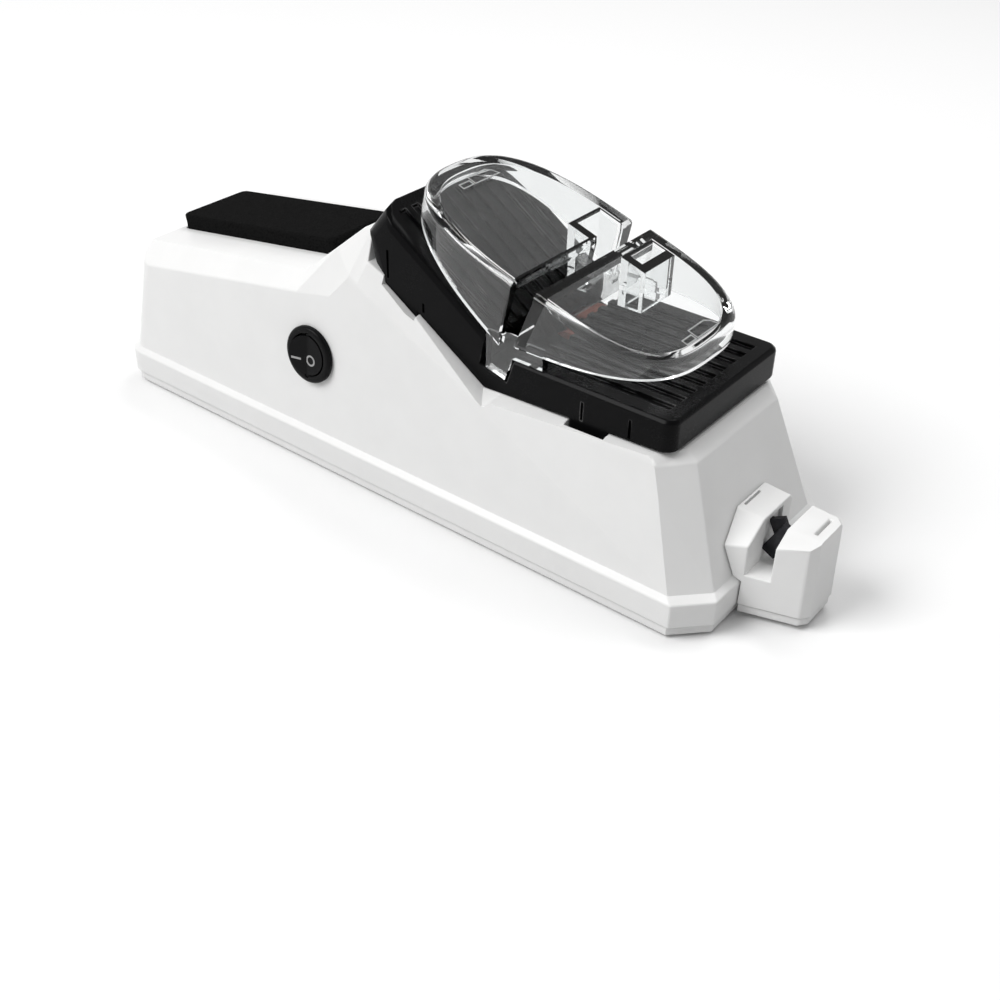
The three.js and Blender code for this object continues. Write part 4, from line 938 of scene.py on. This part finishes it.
ring_x, ring_y, ring_radius, ring_line = 1.55, -1.3, 1.75, 0.55
ring_sides = 48
ring_middle = Vector((ring_x, ring_y, rocker_top)) * mm
ring_profile = scaled([
    (ring_radius, -mark_depth), (ring_radius, mark_depth),
    (ring_radius - ring_line, mark_depth), (ring_radius - ring_line, -mark_depth)])
ring_mesh = closed_loft([circle(radius, height, ring_sides) for radius, height in ring_profile],
                        looped=True)
ring_mesh.transform(switch_place @ Matrix.Translation(ring_middle))
ride(as_piece(ring_mesh, "switch_ring_mark"), "rocker", mark_grey)


# Power inlet, terminals and leads. A black socket in the rear end face; brass tabs on the switch
# and the motor; soft round wires between them.
softened("power_inlet", "housing", switch_black, 0.3 * mm, least_angle=50)
brass = metal("brass", (0.72, 0.5, 0.2, 1), (0.6, 0.4, 0.16, 1), roughness=0.35)
for node in ["switch_terminal_supply", "switch_terminal_motor",
             "motor_terminal_supply", "motor_terminal_return"]:
    softened(node, "housing", brass, 0.15 * mm)

lead_red = moulded("lead_red", (0.4, 0.01, 0.01, 1), (0.3, 0.01, 0.01, 1),
                   roughness=0.5, grain=0.2, specular=0.4)
lead_black = moulded("lead_black", grey(0.012), grey(0.009), roughness=0.5, grain=0.2, specular=0.4)
lead_merge = 0.01 * mm
lead_smooth_angle = 60
for node, slot, paint in [
        ("lead_inlet_to_switch", "lead_red", lead_red),
        ("lead_switch_to_motor", "lead_red", lead_red),
        ("lead_inlet_to_motor", "lead_black", lead_black)]:
    lead_mesh = bmesh.new()
    lead_mesh.from_mesh(nodes[node].data)
    bmesh.ops.remove_doubles(lead_mesh, verts=lead_mesh.verts, dist=lead_merge)
    lead = as_piece(lead_mesh, f"{node}_insulation", lead_smooth_angle)
    ride(lead, "housing", paint)
    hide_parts(node)


# Motor with its strap. A plated steel can with a black end cap, ferrite magnets and a plain
# armature inside, held down on its cradle by a bent steel strap and two screws.
steel = metal("motor_steel", (0.55, 0.56, 0.57, 1), (0.45, 0.46, 0.47, 1),
              roughness=0.34, scratch_scale=700.0, stretch=(1, 0.1, 1))
ferrite = moulded("magnet_ferrite", (0.035, 0.035, 0.037, 1), (0.025, 0.025, 0.027, 1),
                  roughness=0.7, grain=0.6, specular=0.3)
for node, body, slot, paint, width in [
        ("motor_can", "housing", "motor_steel", steel, 0.4),
        ("motor_end_cap", "housing", "black_satin_plastic", switch_black, 0.4),
        ("motor_magnets", "housing", "magnet_ferrite", ferrite, 0.2),
        ("motor_armature", "rotor", "motor_steel", steel, 0.3),
        ("motor_shaft", "rotor", "motor_steel", steel, 0.2),
        ("motor_strap", "housing", "zinc_steel", zinc, 0.15)]:
    softened(node, body, paint, width * mm, least_angle=50)
for place in ["rear", "front"]:
    cross_screw(f"strap_screw_{place}", span(f"strap_screw_{place}")[1].z, (0, 0, -1))


# Grinding wheel. A ring of fine bonded abrasive on a turned brass hub, held by a plated nut.
# Its reddish stone shows through the pockets of the guard.
stone = moulded("abrasive", (0.3, 0.11, 0.08, 1), (0.2, 0.07, 0.05, 1),
                roughness=0.95, grain=1.0, specular=0.2)
softened("grinding_wheel", "rotor", stone, 0.5 * mm, least_angle=50)
softened("wheel_hub", "rotor", brass, 0.25 * mm, least_angle=50)
softened("wheel_nut", "rotor", zinc, 0.25 * mm, least_angle=50)


# Pull-through sharpener. A white body screwed to the front face, with a slot for the blade, a lid
# below and a cartridge that carries two crossed carbide blades.
block_round = 0.5 * mm
block_mesh = node_mesh("sharpener_block", merge_reach)
rounded(block_mesh, block_round, least_angle=20, steps=3)
block = as_piece(block_mesh, "pull_through_body")
ride(block, "housing", white_plastic)
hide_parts("sharpener_block")
softened("sharpener_lid", "housing", white_plastic, 0.4 * mm,
         least_angle=50, least_length=2 * mm)
softened("sharpener_cartridge", "housing", white_plastic, 0.3 * mm,
         least_angle=50, least_length=3 * mm)
carbide = metal("carbide", (0.06, 0.06, 0.065, 1), (0.04, 0.04, 0.045, 1),
                roughness=0.4, scratch_scale=700.0, stretch=(1, 1, 0.2))
for place in ["near", "far"]:
    softened(f"sharpening_blade_{place}", "housing", carbide, 0.12 * mm)
    cross_screw(f"block_screw_{place}", span(f"block_screw_{place}")[0].x, (1, 0, 0))
